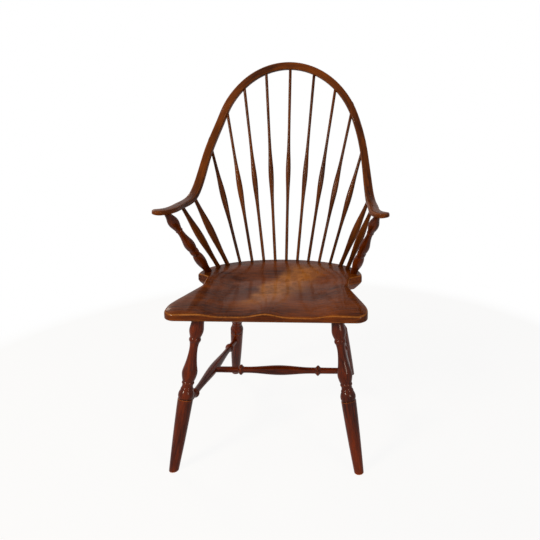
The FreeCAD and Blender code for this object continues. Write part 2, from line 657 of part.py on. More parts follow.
def build():
    """All nodes of the chair, by name."""
    nodes = {}
    curve = bow_curve()
    bow = bow_blank(curve)
    seat = seat_blank()
    bow_bores = []
    seat_bores = []
    back_wedges = []
    arm_wedges = []

    middle_number = BACK_SPINDLES_A_SIDE + 1
    for index in range(BACK_SPINDLES_A_SIDE + 1):
        foot = deck_point(BACK_SPINDLE_PITCH * index)
        head, tangent, outward, face = bow_point(curve, BACK_SPINDLE_REACH[index])
        turning = back_spindle_turning((head - foot).Length, BACK_SPINDLE_SWELL_RISE[index],
                                       BACK_SPINDLE_SWELL[index])
        upright = Upright(foot, head, turning, BACK_SPINDLE_TENON, BACK_SPINDLE_TENON,
                          tangent, bow)
        nodes["back_spindle_%d" % (middle_number + index)] = upright.solid
        bow_bores.append(upright.bow_bore)
        seat_bores.append(upright.seat_bore)
        back_wedges.append(upright.wedge)
        if index > 0:
            nodes["back_spindle_%d" % (middle_number - index)] = mirrored(upright.solid)
            bow_bores.append(mirrored(upright.bow_bore))
            seat_bores.append(mirrored(upright.seat_bore))
            back_wedges.append(mirrored(upright.wedge))

    arm_pieces = []
    post_reach = curve.length() / 2 - ARM_POST_BEHIND_HAND
    for name, x, behind in zip(("rear", "front"), ARM_SPINDLE_FEET, ARM_SPINDLE_BEHIND_POST):
        foot = deck_point(x)
        head, tangent, outward, face = bow_point(curve, post_reach - behind)
        head = head - outward * ARM_SPINDLE_INSET
        upright = Upright(foot, head, arm_spindle_turning((head - foot).Length),
                          ARM_SPINDLE_FOOT_TENON, ARM_SPINDLE_TENON, tangent, bow)
        arm_pieces.append(("arm_spindle_" + name, upright))
    foot = deck_point(ARM_POST_FOOT)
    head, tangent, outward, face = bow_point(curve, post_reach)
    upright = Upright(foot, head, post_turning((head - foot).Length),
                      ARM_POST_FOOT_TENON, ARM_POST_TENON, tangent, bow)
    arm_pieces.append(("arm_post", upright))
    for name, upright in arm_pieces:
        for side, shape in (("right", lambda s: s), ("left", mirrored)):
            nodes[name + "_" + side] = shape(upright.solid)
            bow_bores.append(shape(upright.bow_bore))
            seat_bores.append(shape(upright.seat_bore))
            arm_wedges.append(shape(upright.wedge))

    front, front_foot, front_top, front_bore = leg(
        FRONT_LEG_TOP, FRONT_LEG_FOOT, FRONT_LEG_GROOVE_DROP)
    rear, rear_foot, rear_top, rear_bore = leg(
        REAR_LEG_TOP, REAR_LEG_FOOT, REAR_LEG_GROOVE_DROP)
    for bore in (front_bore, rear_bore):
        seat_bores.append(bore)
        seat_bores.append(mirrored(bore))

    side_start = on_line(front_foot, front_top, SIDE_STRETCHER_FRONT_Z)
    side_end = on_line(rear_foot, rear_top, SIDE_STRETCHER_REAR_Z)
    turning = stretcher_turning((side_end - side_start).Length, SIDE_STRETCHER_END,
                                SIDE_STRETCHER_RING_INSET, SIDE_STRETCHER_RING,
                                SIDE_STRETCHER_NECK, SIDE_STRETCHER_SWELL)
    side, bores = stretcher(side_start, side_end, turning, SIDE_STRETCHER_TENON, front, rear)
    front = front.cut(bores[0])
    rear = rear.cut(bores[1])

    cross_right = side_start + (side_end - side_start) * CENTRE_STRETCHER_RATIO
    cross_left = vector(-cross_right.x, cross_right.y, cross_right.z)
    width = (cross_right - cross_left).Length
    turning = stretcher_turning(width, CENTRE_STRETCHER_END,
                                width / 2 - CENTRE_STRETCHER_RING_X, CENTRE_STRETCHER_RING,
                                CENTRE_STRETCHER_NECK, CENTRE_STRETCHER_SWELL)
    cross, bores = stretcher(cross_left, cross_right, turning, CENTRE_STRETCHER_TENON,
                             mirrored(side), side)
    side = side.cut(bores[1])

    nodes["seat"] = seat.cut(seat_bores)
    nodes["bow"] = bow.cut(bow_bores)
    nodes["bow_wedges"] = Part.makeCompound(back_wedges)
    nodes["arm_wedges"] = Part.makeCompound(arm_wedges)
    for name, shape in (("front_leg", front), ("rear_leg", rear), ("side_stretcher", side)):
        nodes[name + "_right"] = shape
        nodes[name + "_left"] = mirrored(shape)
    nodes["centre_stretcher"] = cross
    return nodes


def main():
    nodes = build()
    whole = Part.makeCompound(list(nodes.values())).optimalBoundingBox(False, False)
    move = vector(-(whole.XMin + whole.XMax) / 2, -(whole.YMin + whole.YMax) / 2, -whole.ZMin)
    os.makedirs("parts", exist_ok=True)
    for name in sorted(nodes):
        shape = nodes[name].copy()
        shape.translate(move)
        shape.exportStep("parts/%s.step" % name)
        solids = shape.Solids
        volume = sum(solid.Volume for solid in solids) / 1000.0
        print("%-20s solids %2d  volume %8.1f cm3  valid %s" % (
            name, len(solids), volume, shape.isValid()))
    print("size %.1f x %.1f x %.1f mm, moved by %.2f in Y" % (
        whole.XLength, whole.YLength, whole.ZLength, move.y))


main()
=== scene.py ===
# %% [markdown]
# # A continuous-arm windsor chair
#
# The chair is a carved plank that carries everything: four turned legs with
# stretchers under it, and nine slender spindles above it that run up into one
# long bent bow. The bow is at once the back and both arms. This lesson dresses
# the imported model: every CAD piece is replaced by a finer surface at the same
# place, worked out from the same measurements, and then stained and polished.

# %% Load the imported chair
import bpy
import numpy as np
from mathutils import Matrix


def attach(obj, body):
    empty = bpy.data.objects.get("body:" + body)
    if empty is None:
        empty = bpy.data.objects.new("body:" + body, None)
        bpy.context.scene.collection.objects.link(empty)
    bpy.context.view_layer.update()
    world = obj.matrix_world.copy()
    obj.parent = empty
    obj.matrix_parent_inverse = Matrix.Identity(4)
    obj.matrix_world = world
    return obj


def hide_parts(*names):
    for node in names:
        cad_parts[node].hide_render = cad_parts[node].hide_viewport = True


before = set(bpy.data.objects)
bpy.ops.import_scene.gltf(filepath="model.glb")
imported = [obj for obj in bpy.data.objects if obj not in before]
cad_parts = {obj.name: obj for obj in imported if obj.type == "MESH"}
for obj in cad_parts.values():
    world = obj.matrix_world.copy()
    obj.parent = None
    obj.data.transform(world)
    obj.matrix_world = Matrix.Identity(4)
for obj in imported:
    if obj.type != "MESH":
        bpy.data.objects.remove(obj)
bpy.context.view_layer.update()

MM = 0.001
# From the middle of the deck's curve to the middle of the chair's footprint, along y
MOVE_Y = 3.81

# %% [markdown]
# ## Measurements and gentle steps
#
# A chairmaker thinks in millimetres, and Blender in metres. All sums below are
# in millimetres, measured from the middle of the curved deck on which the
# spindles stand, and every piece is turned into metres when its mesh is made. A
# carved surface is mostly one height fading into another, so the most useful
# helper is a step without corners.

# %% Small helpers


def point(*values):
    """A place or direction as an array of floats."""
    return np.array(values, float)


def unit(vectors):
    """Each vector divided by its length."""
    return vectors / np.linalg.norm(vectors, axis=-1, keepdims=True)


def smooth_step(value):
    """Three squares minus two cubes of the value, which is first held between 0 and 1."""
    held = np.clip(value, 0.0, 1.0)
    return held * held * (3.0 - 2.0 * held)


def mirror(points):
    """The same place on the left side of the chair: x changes its sign."""
    return points * point(-1, 1, 1)


print("half way up the step:", smooth_step(point(0.25, 0.5, 0.75)))

# %% [markdown]
# ## A smooth curve through a few points
#
# Turnings and the bent bow are both drawn the same way: a handful of measured
# points, and one fair curve through all of them, as a thin batten would lie.
# Blender's own curves would do, but here the curve is needed as plain numbers
# for a grid, so it is solved once with a small table of equations.

# %% The batten


def batten(knots, values, at):
    """The smooth curve through the values, read at the places in `at`.

    Each span is a cubic set by its two ends and its two end slopes. The slopes
    come from one set of equations: neighbouring spans share slope and bend where
    they meet, and the first and last spans are parabolas.
    """
    span = np.diff(knots)[:, None]
    rise = np.diff(values, axis=0) / span
    size = len(knots)
    table = np.zeros((size, size))
    inner = np.arange(1, size - 1)
    table[inner, inner - 1] = 1 / span[:-1, 0]
    table[inner, inner] = 2 / span[:-1, 0] + 2 / span[1:, 0]
    table[inner, inner + 1] = 1 / span[1:, 0]
    table[0, :2] = 1
    table[-1, -2:] = 1
    wanted = np.vstack([2 * rise[:1], 3 * (rise[:-1] / span[:-1] + rise[1:] / span[1:]),
                        2 * rise[-1:]])
    slopes = np.linalg.solve(table, wanted)
    low = np.clip(np.searchsorted(knots, at, side="right") - 1, 0, size - 2)
    s = (at[:, None] - knots[low][:, None]) / span[low]
    start = values[low] * (1 + 2 * s) * (1 - s) ** 2 + slopes[low] * span[low] * s * (1 - s) ** 2
    end = values[low + 1] * s ** 2 * (3 - 2 * s) - slopes[low + 1] * span[low] * s ** 2 * (1 - s)
    return start + end


def walk(points):
    """Distance walked along straight lines from point to point, starting at 0."""
    steps = np.linalg.norm(np.diff(points, axis=0), axis=1)
    return np.concatenate([[0.0], np.cumsum(steps)])


values = point(0, 1, 3)[:, None]
print("batten check:", batten(point(0, 1, 2), values, point(0, 0.5, 1, 2))[:, 0])

# %% [markdown]
# ## From a grid of points to a piece
#
# Every piece here is a tube of some kind: rings of points that are joined to
# the next ring all the way along, with one point closing each end. Two kinds of
# notes are stored on the points for the finish. `grain_place` says where a
# point lies in the piece's own timber, with the grain along its third number,
# so the figure turns with each leaning leg. `ridge` says whether the point
# stands proud (where hands and cloth rub the stain away) or lies in a groove
# (where dust and old polish stay).

# %% The skin maker


def tube_faces(count, around, first):
    """Four-sided faces between rings and fans at both ends, numbered from `first`."""
    i, j = np.meshgrid(np.arange(count - 1), np.arange(around), indexing="ij")
    k = (j + 1) % around
    sides = np.stack([i * around + j, i * around + k, (i + 1) * around + k,
                      (i + 1) * around + j], -1).reshape(-1, 4)
    j = np.arange(around)
    k = (j + 1) % around
    last = (count - 1) * around
    fans = np.vstack([np.stack([k, j, np.full(around, count * around)], -1),
                      np.stack([last + j, last + k, np.full(around, count * around + 1)], -1)])
    return (sides + first).tolist() + (fans + first).tolist()


def volume_of(rings):
    """Volume inside rings, from the triangles' signed corner volumes, in mm3."""
    a = rings[:-1]
    b = np.roll(rings, -1, axis=1)[:-1]
    c = np.roll(rings, -1, axis=1)[1:]
    d = rings[1:]
    total = (np.einsum("ijk,ijk", a, np.cross(b, c)) + np.einsum("ijk,ijk", a, np.cross(c, d))) / 6
    for ring, way in ((rings[0], -1), (rings[-1], 1)):
        turned = np.cross(ring, np.roll(ring, -1, axis=0)) @ ring.mean(axis=0)
        total += way * turned.sum() / 6
    return total


def shell(rings, place, ridge):
    """Rings with their notes, turned the right way out, and a pole at each end."""
    if volume_of(rings) < 0:
        rings, place, ridge = rings[:, ::-1], place[:, ::-1], ridge[:, ::-1]
    poles = [rings[0].mean(axis=0), rings[-1].mean(axis=0)]
    place_poles = [place[0].mean(axis=0), place[-1].mean(axis=0)]
    return {
        "faces": lambda first: tube_faces(rings.shape[0], rings.shape[1], first),
        "points": np.vstack([rings.reshape(-1, 3), poles]),
        "place": np.vstack([place.reshape(-1, 3), place_poles]),
        "ridge": np.concatenate([ridge.ravel(), [ridge[0].mean(), ridge[-1].mean()]]),
        "volume": abs(volume_of(rings)),
    }


def make_piece(node, shells, finish):
    """One object from one or more shells, which stands for the CAD node of that name."""
    faces = []
    count = 0
    for part in shells:
        faces += part["faces"](count)
        count += len(part["points"])
    points = np.vstack([part["points"] for part in shells]) + point(0, MOVE_Y, 0)
    mesh = bpy.data.meshes.new(node + "_mesh")
    mesh.from_pydata(points * MM, [], faces)
    notes = mesh.attributes.new("grain_place", "FLOAT_VECTOR", "POINT")
    place = np.vstack([part["place"] for part in shells]) * MM
    notes.data.foreach_set("vector", place.astype(np.float32).ravel())
    notes = mesh.attributes.new("ridge", "FLOAT", "POINT")
    ridge = np.concatenate([part["ridge"] for part in shells])
    notes.data.foreach_set("value", ridge.astype(np.float32))
    mesh.shade_smooth()
    mesh.materials.append(finish)
    piece = bpy.data.objects.new(node + "_wood", mesh)
    bpy.context.scene.collection.objects.link(piece)
    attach(piece, "root")
    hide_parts(node)
    litres = sum(part["volume"] for part in shells) / 1e6
    print("%-24s %6d points, %.3f litres" % (node, len(points), litres))


# %% [markdown]
# ## Building blocks of the finish
#
# The wood is old: a dark reddish-brown stain under a thin polish that has gone
# glossy with use. That look is built from three shader groups that every
# material shares, so the whole chair ages in one way. Each group takes simple
# inputs and gives back colours or masks that change over the surface. The
# shader itself stays in the material, where its coat of polish is set.

# %% A short way to write shader nodes


def add(tree, kind, inputs=None, **settings):
    """Adds a node. An input is either another node's output, to join, or a plain value."""
    made = tree.nodes.new(kind)
    for name, value in settings.items():
        setattr(made, name, value)
    for name, value in (inputs or {}).items():
        socket = made.inputs[name]
        if isinstance(value, bpy.types.NodeSocket):
            tree.links.new(value, socket)
        else:
            socket.default_value = value
    return made


def maths(tree, operation, first, second=0.0, third=0.0, clamp=False):
    """One sum on two or three values: the output socket of a Math node."""
    made = add(tree, "ShaderNodeMath", {0: first, 1: second, 2: third},
               operation=operation, use_clamp=clamp)
    return made.outputs[0]


def between(tree, value, low, high):
    """0 below low, 1 above high, and a smooth rise between them."""
    made = add(tree, "ShaderNodeMapRange",
               {"Value": value, "From Min": low, "From Max": high}, interpolation_type="SMOOTHSTEP")
    return made.outputs["Result"]


def blend(tree, factor, first, second):
    """Two colours mixed by a factor: 0 gives the first and 1 the second."""
    made = add(tree, "ShaderNodeMix", {0: factor, 6: first, 7: second}, data_type="RGBA",
               clamp_factor=True)
    return made.outputs[2]


def new_group(name, inputs, outputs):
    """An empty shader group with its sockets: (tree, input node, output node)."""
    tree = bpy.data.node_groups.new(name, "ShaderNodeTree")
    for label, kind in inputs:
        tree.interface.new_socket(label, in_out="INPUT", socket_type="NodeSocket" + kind)
    for label, kind in outputs:
        tree.interface.new_socket(label, in_out="OUTPUT", socket_type="NodeSocket" + kind)
    return tree, tree.nodes.new("NodeGroupInput"), tree.nodes.new("NodeGroupOutput")


def scaled(tree, vector, x, y, z):
    """A vector stretched along each of its three directions."""
    made = add(tree, "ShaderNodeVectorMath", {0: vector, 1: (x, y, z)}, operation="MULTIPLY")
    return made.outputs[0]


print("shader helpers ready")

# %% [markdown]
# ### Figure
#
# A tree grows in rings, and a turned or carved surface cuts through them. So
# the figure is a set of rings round a pith line that lies outside the piece,
# bent a little by slow noise. Along the grain everything is stretched: slow
# drifts of tone, and the short dark pores that stain soaks into.

# %% Group: figure of the wood


def figure_group():
    """Rings = wave of the distance from the pith; drift and pores = stretched noise."""
    tree, given, out = new_group(
        "wood figure", [("Place", "Vector"), ("Ring Scale", "Float")],
        [("Rings", "Float"), ("Pores", "Float"), ("Drift", "Float"), ("Flecks", "Float")])
    place = given.outputs["Place"]
    slow = add(tree, "ShaderNodeTexNoise",
               {"Vector": scaled(tree, place, 1, 1, 0.16), "Scale": 24.0, "Detail": 3.0,
                "Roughness": 0.5})
    bent = add(tree, "ShaderNodeVectorMath", {0: slow.outputs["Color"], 1: (0.5, 0.5, 0.5)},
               operation="SUBTRACT")
    bent = scaled(tree, bent.outputs[0], 0.016, 0.016, 0.0)
    moved = add(tree, "ShaderNodeVectorMath", {0: place, 1: bent}, operation="ADD")
    moved = add(tree, "ShaderNodeVectorMath", {0: moved.outputs[0], 1: (0.021, 0.074, 0.0)},
                operation="ADD")
    rings = add(tree, "ShaderNodeTexWave",
                {"Vector": moved.outputs[0], "Scale": given.outputs["Ring Scale"],
                 "Distortion": 1.4, "Detail": 2.0, "Detail Scale": 0.6},
                wave_type="RINGS", rings_direction="Z", wave_profile="SAW")
    pores = add(tree, "ShaderNodeTexNoise",
                {"Vector": scaled(tree, place, 1, 1, 0.035), "Scale": 1300.0, "Detail": 2.0})
    drift = add(tree, "ShaderNodeTexNoise",
                {"Vector": scaled(tree, place, 1, 1, 0.3), "Scale": 17.0, "Detail": 4.0,
                 "Roughness": 0.55})
    flecks = add(tree, "ShaderNodeTexNoise",
                 {"Vector": scaled(tree, place, 1, 1, 0.09), "Scale": 230.0, "Detail": 3.0,
                  "Roughness": 0.6})
    tree.links.new(rings.outputs["Fac"], out.inputs["Rings"])
    tree.links.new(between(tree, pores.outputs["Fac"], 0.56, 0.7), out.inputs["Pores"])
    tree.links.new(between(tree, drift.outputs["Fac"], 0.32, 0.68), out.inputs["Drift"])
    tree.links.new(between(tree, flecks.outputs["Fac"], 0.35, 0.68), out.inputs["Flecks"])
    return tree


FIGURE = figure_group()
print("figure group:", len(FIGURE.nodes), "nodes")

# %% [markdown]
# ### Stain, wear and painted sheen
#
# The stain was brushed on and wiped off, so it lies darker in grooves and
# pores and thinner on ridges. Years of hands did the same again. The group
# mixes three colours that each material chooses for itself: deep, body, worn.
# The worn colour is also laid on a painted sheen where a material gives one.

# %% Group: stain, wear and painted sheen


GRIME_BROWN = (0.012, 0.0045, 0.002, 1)
PORE_BROWN = (0.016, 0.006, 0.003, 1)


def stain_group():
    """Colour = deep to body by figure, to worn by ridge and painted sheen, darkened in grooves and
    pores.
    """
    tree, given, out = new_group(
        "stain and wear",
        [("Place", "Vector"), ("Rings", "Float"), ("Pores", "Float"), ("Drift", "Float"),
         ("Flecks", "Float"), ("Ridge", "Float"), ("Painted Sheen", "Float"), ("Deep", "Color"),
         ("Body", "Color"), ("Worn", "Color")],
        [("Color", "Color"), ("Wear_and_Sheen", "Float"), ("Grime", "Float")])
    got = given.outputs
    tone = maths(tree, "MULTIPLY", got["Flecks"], 0.35)
    tone = maths(tree, "MULTIPLY_ADD", got["Drift"], 0.55, tone)
    tone = maths(tree, "MULTIPLY_ADD", got["Rings"], 0.16, tone, clamp=True)
    color = blend(tree, tone, got["Deep"], got["Body"])
    patches = add(tree, "ShaderNodeTexNoise", {"Vector": got["Place"], "Scale": 42.0, "Detail": 4.0,
                                               "Roughness": 0.62})
    broken = between(tree, patches.outputs["Fac"], 0.36, 0.66)
    proud = between(tree, got["Ridge"], 0.12, 0.95)
    wear_and_sheen = maths(tree, "MULTIPLY_ADD", broken, 0.55, 0.45)
    # Proud points take the worn colour, and so does the seat's painted sheen, a reflection of the
    # room's light.
    wear_and_sheen = maths(tree, "MULTIPLY", wear_and_sheen, maths(tree, "MAXIMUM", proud, got["Painted Sheen"]), clamp=True)
    color = blend(tree, maths(tree, "MULTIPLY", wear_and_sheen, 0.85), color, got["Worn"])
    low = maths(tree, "MULTIPLY", got["Ridge"], -1.0)
    grime = maths(tree, "MULTIPLY", between(tree, low, 0.1, 0.9), 0.8, clamp=True)
    color = blend(tree, grime, color, GRIME_BROWN)
    pores = maths(tree, "MULTIPLY", got["Pores"], 0.42)
    color = blend(tree, pores, color, PORE_BROWN)
    tree.links.new(color, out.inputs["Color"])
    tree.links.new(wear_and_sheen, out.inputs["Wear_and_Sheen"])
    tree.links.new(grime, out.inputs["Grime"])
    return tree


STAIN = stain_group()
print("stain group:", len(STAIN.nodes), "nodes")

# %% [markdown]
# ### Polish
#
# Polish fills the pores but not quite, shines most where it is rubbed, and is
# dull in the grooves. The surface was cut by hand tools, so it also carries
# very shallow waves, which is what breaks the highlights on real turnings.

# %% Group: polish


def polish_group():
    """Roughness = base + dullness of smears, grime and pores; height = hand-tool waves minus pores.
    """
    tree, given, out = new_group(
        "hand polish",
        [("Place", "Vector"), ("Pores", "Float"), ("Drift", "Float"), ("Flecks", "Float"),
         ("Wear_and_Sheen", "Float"), ("Grime", "Float"), ("Gloss", "Float")],
        [("Roughness", "Float"), ("Height", "Float")])
    got = given.outputs
    smears = add(tree, "ShaderNodeTexNoise", {"Vector": got["Place"], "Scale": 60.0, "Detail": 5.0,
                                              "Roughness": 0.6})
    rough = maths(tree, "SUBTRACT", 1.0, got["Gloss"])
    rough = maths(tree, "MULTIPLY_ADD", between(tree, smears.outputs["Fac"], 0.35, 0.7), 0.1, rough)
    rough = maths(tree, "MULTIPLY_ADD", got["Grime"], 0.22, rough)
    rough = maths(tree, "MULTIPLY_ADD", got["Pores"], 0.1, rough)
    rough = maths(tree, "MULTIPLY_ADD", got["Wear_and_Sheen"], -0.04, rough, clamp=True)
    waves = add(tree, "ShaderNodeTexNoise", {"Vector": got["Place"], "Scale": 85.0, "Detail": 1.0})
    height = maths(tree, "MULTIPLY", waves.outputs["Fac"], 0.6)
    height = maths(tree, "MULTIPLY_ADD", got["Flecks"], 0.05, height)
    height = maths(tree, "MULTIPLY_ADD", got["Pores"], -0.12, height)
    tree.links.new(rough, out.inputs["Roughness"])
    tree.links.new(height, out.inputs["Height"])
    return tree


POLISH = polish_group()
print("polish group:", len(POLISH.nodes), "nodes")

# %% [markdown]
# ## The stains
#
# The same three groups make every finish. Legs and stretchers are the reddest
# and glossiest, and the posts come close. The bow is a warmer, lighter brown
# because hands have thinned its stain. The spindles are a little darker, and
# the small wedges show paler end grain.

# %% Finishes


def use(tree, group, inputs):
    """Places a shader group in a material and joins or sets its inputs."""
    return add(tree, "ShaderNodeGroup", inputs, node_tree=group)


def srgb(red, green, blue):
    """A colour given as 0 to 255 on a screen, made linear by the usual 2.2 power law."""
    return tuple((c / 255) ** 2.2 for c in (red, green, blue)) + (1.0,)


# Height of the tool marks, in metres
WAVE_HEIGHT = 0.0012


def wood(name, deep, body, worn, gloss, coat, ring_scale=46.0, bump=0.25):
    """A stained and polished wood from three colours, a gloss and a coat of polish."""
    material = bpy.data.materials.new(name)
    material.use_nodes = True
    tree = material.node_tree
    shader = tree.nodes["Principled BSDF"]
    place = add(tree, "ShaderNodeAttribute", attribute_name="grain_place").outputs["Vector"]
    ridge = add(tree, "ShaderNodeAttribute", attribute_name="ridge").outputs["Fac"]
    figure = use(tree, FIGURE, {"Place": place, "Ring Scale": ring_scale})
    masks = {mask: figure.outputs[mask] for mask in ("Pores", "Drift", "Flecks")}
    stain = use(tree, STAIN, dict(masks, Place=place, Rings=figure.outputs["Rings"], Ridge=ridge,
                                  Deep=srgb(*deep), Body=srgb(*body), Worn=srgb(*worn)))
    polish = use(tree, POLISH, dict(masks, Place=place, Wear_and_Sheen=stain.outputs["Wear_and_Sheen"],
                                    Grime=stain.outputs["Grime"], Gloss=gloss))
    surface = add(tree, "ShaderNodeBump", {"Height": polish.outputs["Height"], "Strength": bump,
                                           "Distance": WAVE_HEIGHT})
    tree.links.new(stain.outputs["Color"], shader.inputs["Base Color"])
    tree.links.new(polish.outputs["Roughness"], shader.inputs["Roughness"])
    tree.links.new(surface.outputs["Normal"], shader.inputs["Normal"])
    shader.inputs["Coat Weight"].default_value = coat
    shader.inputs["Coat Roughness"].default_value = 0.11
    shader.inputs["Coat IOR"].default_value = 1.5
    shader.inputs["Specular IOR Level"].default_value = 0.03
    return material


LEG_WOOD = wood("leg stain", (36, 11, 1), (108, 43, 4), (186, 106, 34), 0.66, 0.24)
BOW_WOOD = wood("bow stain", (38, 17, 4), (108, 56, 14), (160, 94, 38), 0.58, 0.1)
SPINDLE_WOOD = wood("spindle stain", (42, 19, 5), (104, 56, 20), (142, 86, 40), 0.56, 0.1)
POST_WOOD = wood("post stain", (32, 11, 2), (104, 46, 6), (184, 104, 34), 0.64, 0.22)
WEDGE_WOOD = wood("wedge wood", (70, 38, 18), (120, 76, 40), (150, 104, 62), 0.45, 0.1)
print("finishes:", [m.name for m in bpy.data.materials])

# %% [markdown]
# ## The seat
#
# The seat is one thick plank sawn to a shield shape: broad wings over the front
# legs, a waist behind them, and a rounded deck with two small ears at the back.
# The top is scooped into a saddle with a low pommel at the front. It could be
# sculpted, but a carved seat is really a height for every place, so it is
# worked out as rings that shrink from the outline to the middle.

# %% Seat outline
SEAT_TOP = 439.0
SEAT_UNDERSIDE = 393.0
SEAT_FRONT_Y = -273.0
SEAT_WING_HALF = 258.5
SEAT_WING_Y = -224.0
SEAT_WAIST_HALF = 203.5
DECK_HALF_WIDTH = 213.0
DECK_DEPTH = 128.0
SIDE_RIM = 24.0
REAR_RIM = 14.0
# Corners on the right side: x, y and the radius that rounds them
SEAT_CORNERS = ((SEAT_WING_HALF, SEAT_FRONT_Y, 28.0), (SEAT_WING_HALF, SEAT_WING_Y, 70.0),
                (SEAT_WAIST_HALF, -90.0, 60.0), (SEAT_WAIST_HALF, -30.0, 8.0),
                (DECK_HALF_WIDTH + SIDE_RIM, -8.0, 9.0))


def rounded(corners, first, last, detail=24):
    """A path of straight lines whose corners are arcs that touch both neighbours."""
    points = [first] + [point(x, y) for x, y, radius in corners] + [last]
    path = [first]
    for index, (x, y, radius) in enumerate(corners, start=1):
        before = unit(points[index - 1] - points[index])
        after = unit(points[index + 1] - points[index])
        half = np.arccos(np.clip(before @ after, -1, 1)) / 2
        middle = points[index] + unit(before + after) * radius / np.sin(half)
        start = unit(points[index] + before * radius / np.tan(half) - middle)
        end = unit(points[index] + after * radius / np.tan(half) - middle)
        turn = np.linspace(0, 1, detail)[:, None]
        total = np.arccos(np.clip(start @ end, -1, 1))
        arc = (np.sin((1 - turn) * total) * start + np.sin(turn * total) * end) / np.sin(total)
        path.extend(middle + arc * radius)
    path.append(last)
    return np.array(path)


def even(path, count):
    """The closed path again, as that many points at equal distances."""
    ring = np.vstack([path, path[:1]])
    length = walk(ring)
    at = np.linspace(0, length[-1], count, endpoint=False)
    return np.stack([np.interp(at, length, ring[:, axis]) for axis in range(ring.shape[1])], -1)


def seat_outline(count):
    """Right side, half ellipse behind, left side, as points at equal distances."""
    half = DECK_HALF_WIDTH + SIDE_RIM
    right = rounded(SEAT_CORNERS, point(0, SEAT_FRONT_Y), point(half, 0))
    turn = np.linspace(0, np.pi, 240)[1:-1]
    back = np.stack([half * np.cos(turn), (DECK_DEPTH + REAR_RIM) * np.sin(turn)], -1)
    left = right[::-1] * point(-1, 1)
    return even(np.vstack([right, back, left[:-1]]), count)


OUTLINE = seat_outline(720)
print("seat outline: %.0f mm round" % walk(np.vstack([OUTLINE, OUTLINE[:1]]))[-1])

# %% [markdown]
# ### Heights of the carving
#
# The saddle is a bowl that fades out before it reaches the spindles. In front
# it runs over the edge like water, leaving a hump between the thighs. The wings
# are eased down so that they don't press the legs. Each of these is one term
# that is added to the height of the plank.

# %% Heights of the seat


SADDLE_BACK_Y = -60.0
SADDLE_HALF_WIDTH = 193.0
SADDLE_REACH_BACK = 168.0
SADDLE_SCOOP = 17.5
SADDLE_LIFT = 0.5
POMMEL_HEIGHT = 9.0
POMMEL_WIDTH = 36.0
POMMEL_START_Y = -110.0
WATERFALL_DROP = 8.0
WATERFALL_DEPTH = 92.0
WING_DROP = 9.0
EDGE_ROLL_DROP = 4.0
EDGE_ROLL_WIDTH = 28.0
EDGE_ROLL_BLEND = 50.0
BEVEL_FRONT_HEIGHT = 8.5
BEVEL_EXTRA_HEIGHT = 15.5
BEVEL_WIDTH = 22.0


def edge_distance(places, outline):
    """Shortest distance from each place to the outline's straight pieces."""
    start = outline
    step = np.roll(outline, -1, axis=0) - start
    found = []
    for few in np.array_split(places, max(1, len(places) // 1500)):
        away = few[:, None, :] - start
        share = np.clip((away * step).sum(-1) / (step ** 2).sum(-1), 0, 1)
        found.append(np.sqrt(((away - share[..., None] * step) ** 2).sum(-1).min(1)))
    return np.concatenate(found)


def saddle_height(x, y, inset):
    """Plank top minus bowl, front fall, wing fall and edge roll, plus the pommel.

    The bowl's wall is short at the sides and about twice as long towards the back.
    """
    behind = np.maximum(y - SADDLE_BACK_Y, 0.0) / SADDLE_REACH_BACK
    reach = np.hypot(x / SADDLE_HALF_WIDTH, behind)
    slope = 0.45 + 0.5 * behind ** 2 / (reach ** 2 + 1e-9)
    height = SEAT_TOP + SADDLE_LIFT - SADDLE_SCOOP * smooth_step((1.037 - reach) / slope)
    forward = (POMMEL_START_Y - y) / (POMMEL_START_Y - SEAT_FRONT_Y)
    height += POMMEL_HEIGHT * np.exp(-(x / POMMEL_WIDTH) ** 2) * smooth_step(forward)
    over_front = np.maximum(0.0, SEAT_FRONT_Y + WATERFALL_DEPTH - y) / WATERFALL_DEPTH
    height -= WATERFALL_DROP * over_front ** 2
    height -= WING_DROP * smooth_step(y / SEAT_FRONT_Y) * smooth_step((reach - 0.6) / 0.5)
    ahead = smooth_step((-50.0 - y) / EDGE_ROLL_BLEND)
    beside = smooth_step((np.abs(x) - 150.0) / EDGE_ROLL_BLEND)
    near_edge = np.maximum(0.0, 1.0 - inset / EDGE_ROLL_WIDTH)
    return height - EDGE_ROLL_DROP * ahead * beside * near_edge ** 2


def underside_height(y, inset):
    """Flat, with a bevel that is low at the front and tall under the ears."""
    towards_back = smooth_step((y - SEAT_FRONT_Y) / (-90.0 - SEAT_FRONT_Y))
    rise = BEVEL_FRONT_HEIGHT + BEVEL_EXTRA_HEIGHT * towards_back
    return SEAT_UNDERSIDE + rise * np.maximum(0.0, 1.0 - inset / BEVEL_WIDTH)


print("saddle at its lowest: %.1f mm" % saddle_height(point(0), point(-60), point(150))[0])

# %% [markdown]
# ### Rings of the seat
#
# From the middle of the top the rings grow outwards, go over a rounded rim,
# down the side, round the lower arris, under the bevel and back to the middle.
# The rim's rings follow the outline at true distances, so the rounding is even
# in the tight corners by the ears too.

# %% Build the seat
RIM = 7.0
LOWER_RIM = 2.5


def inward(outline, distance):
    """The outline moved in by a distance, along its own normals."""
    way = unit(np.roll(outline, -1, axis=0) - np.roll(outline, 1, axis=0))
    return outline + np.stack([-way[:, 1], way[:, 0]], -1) * distance


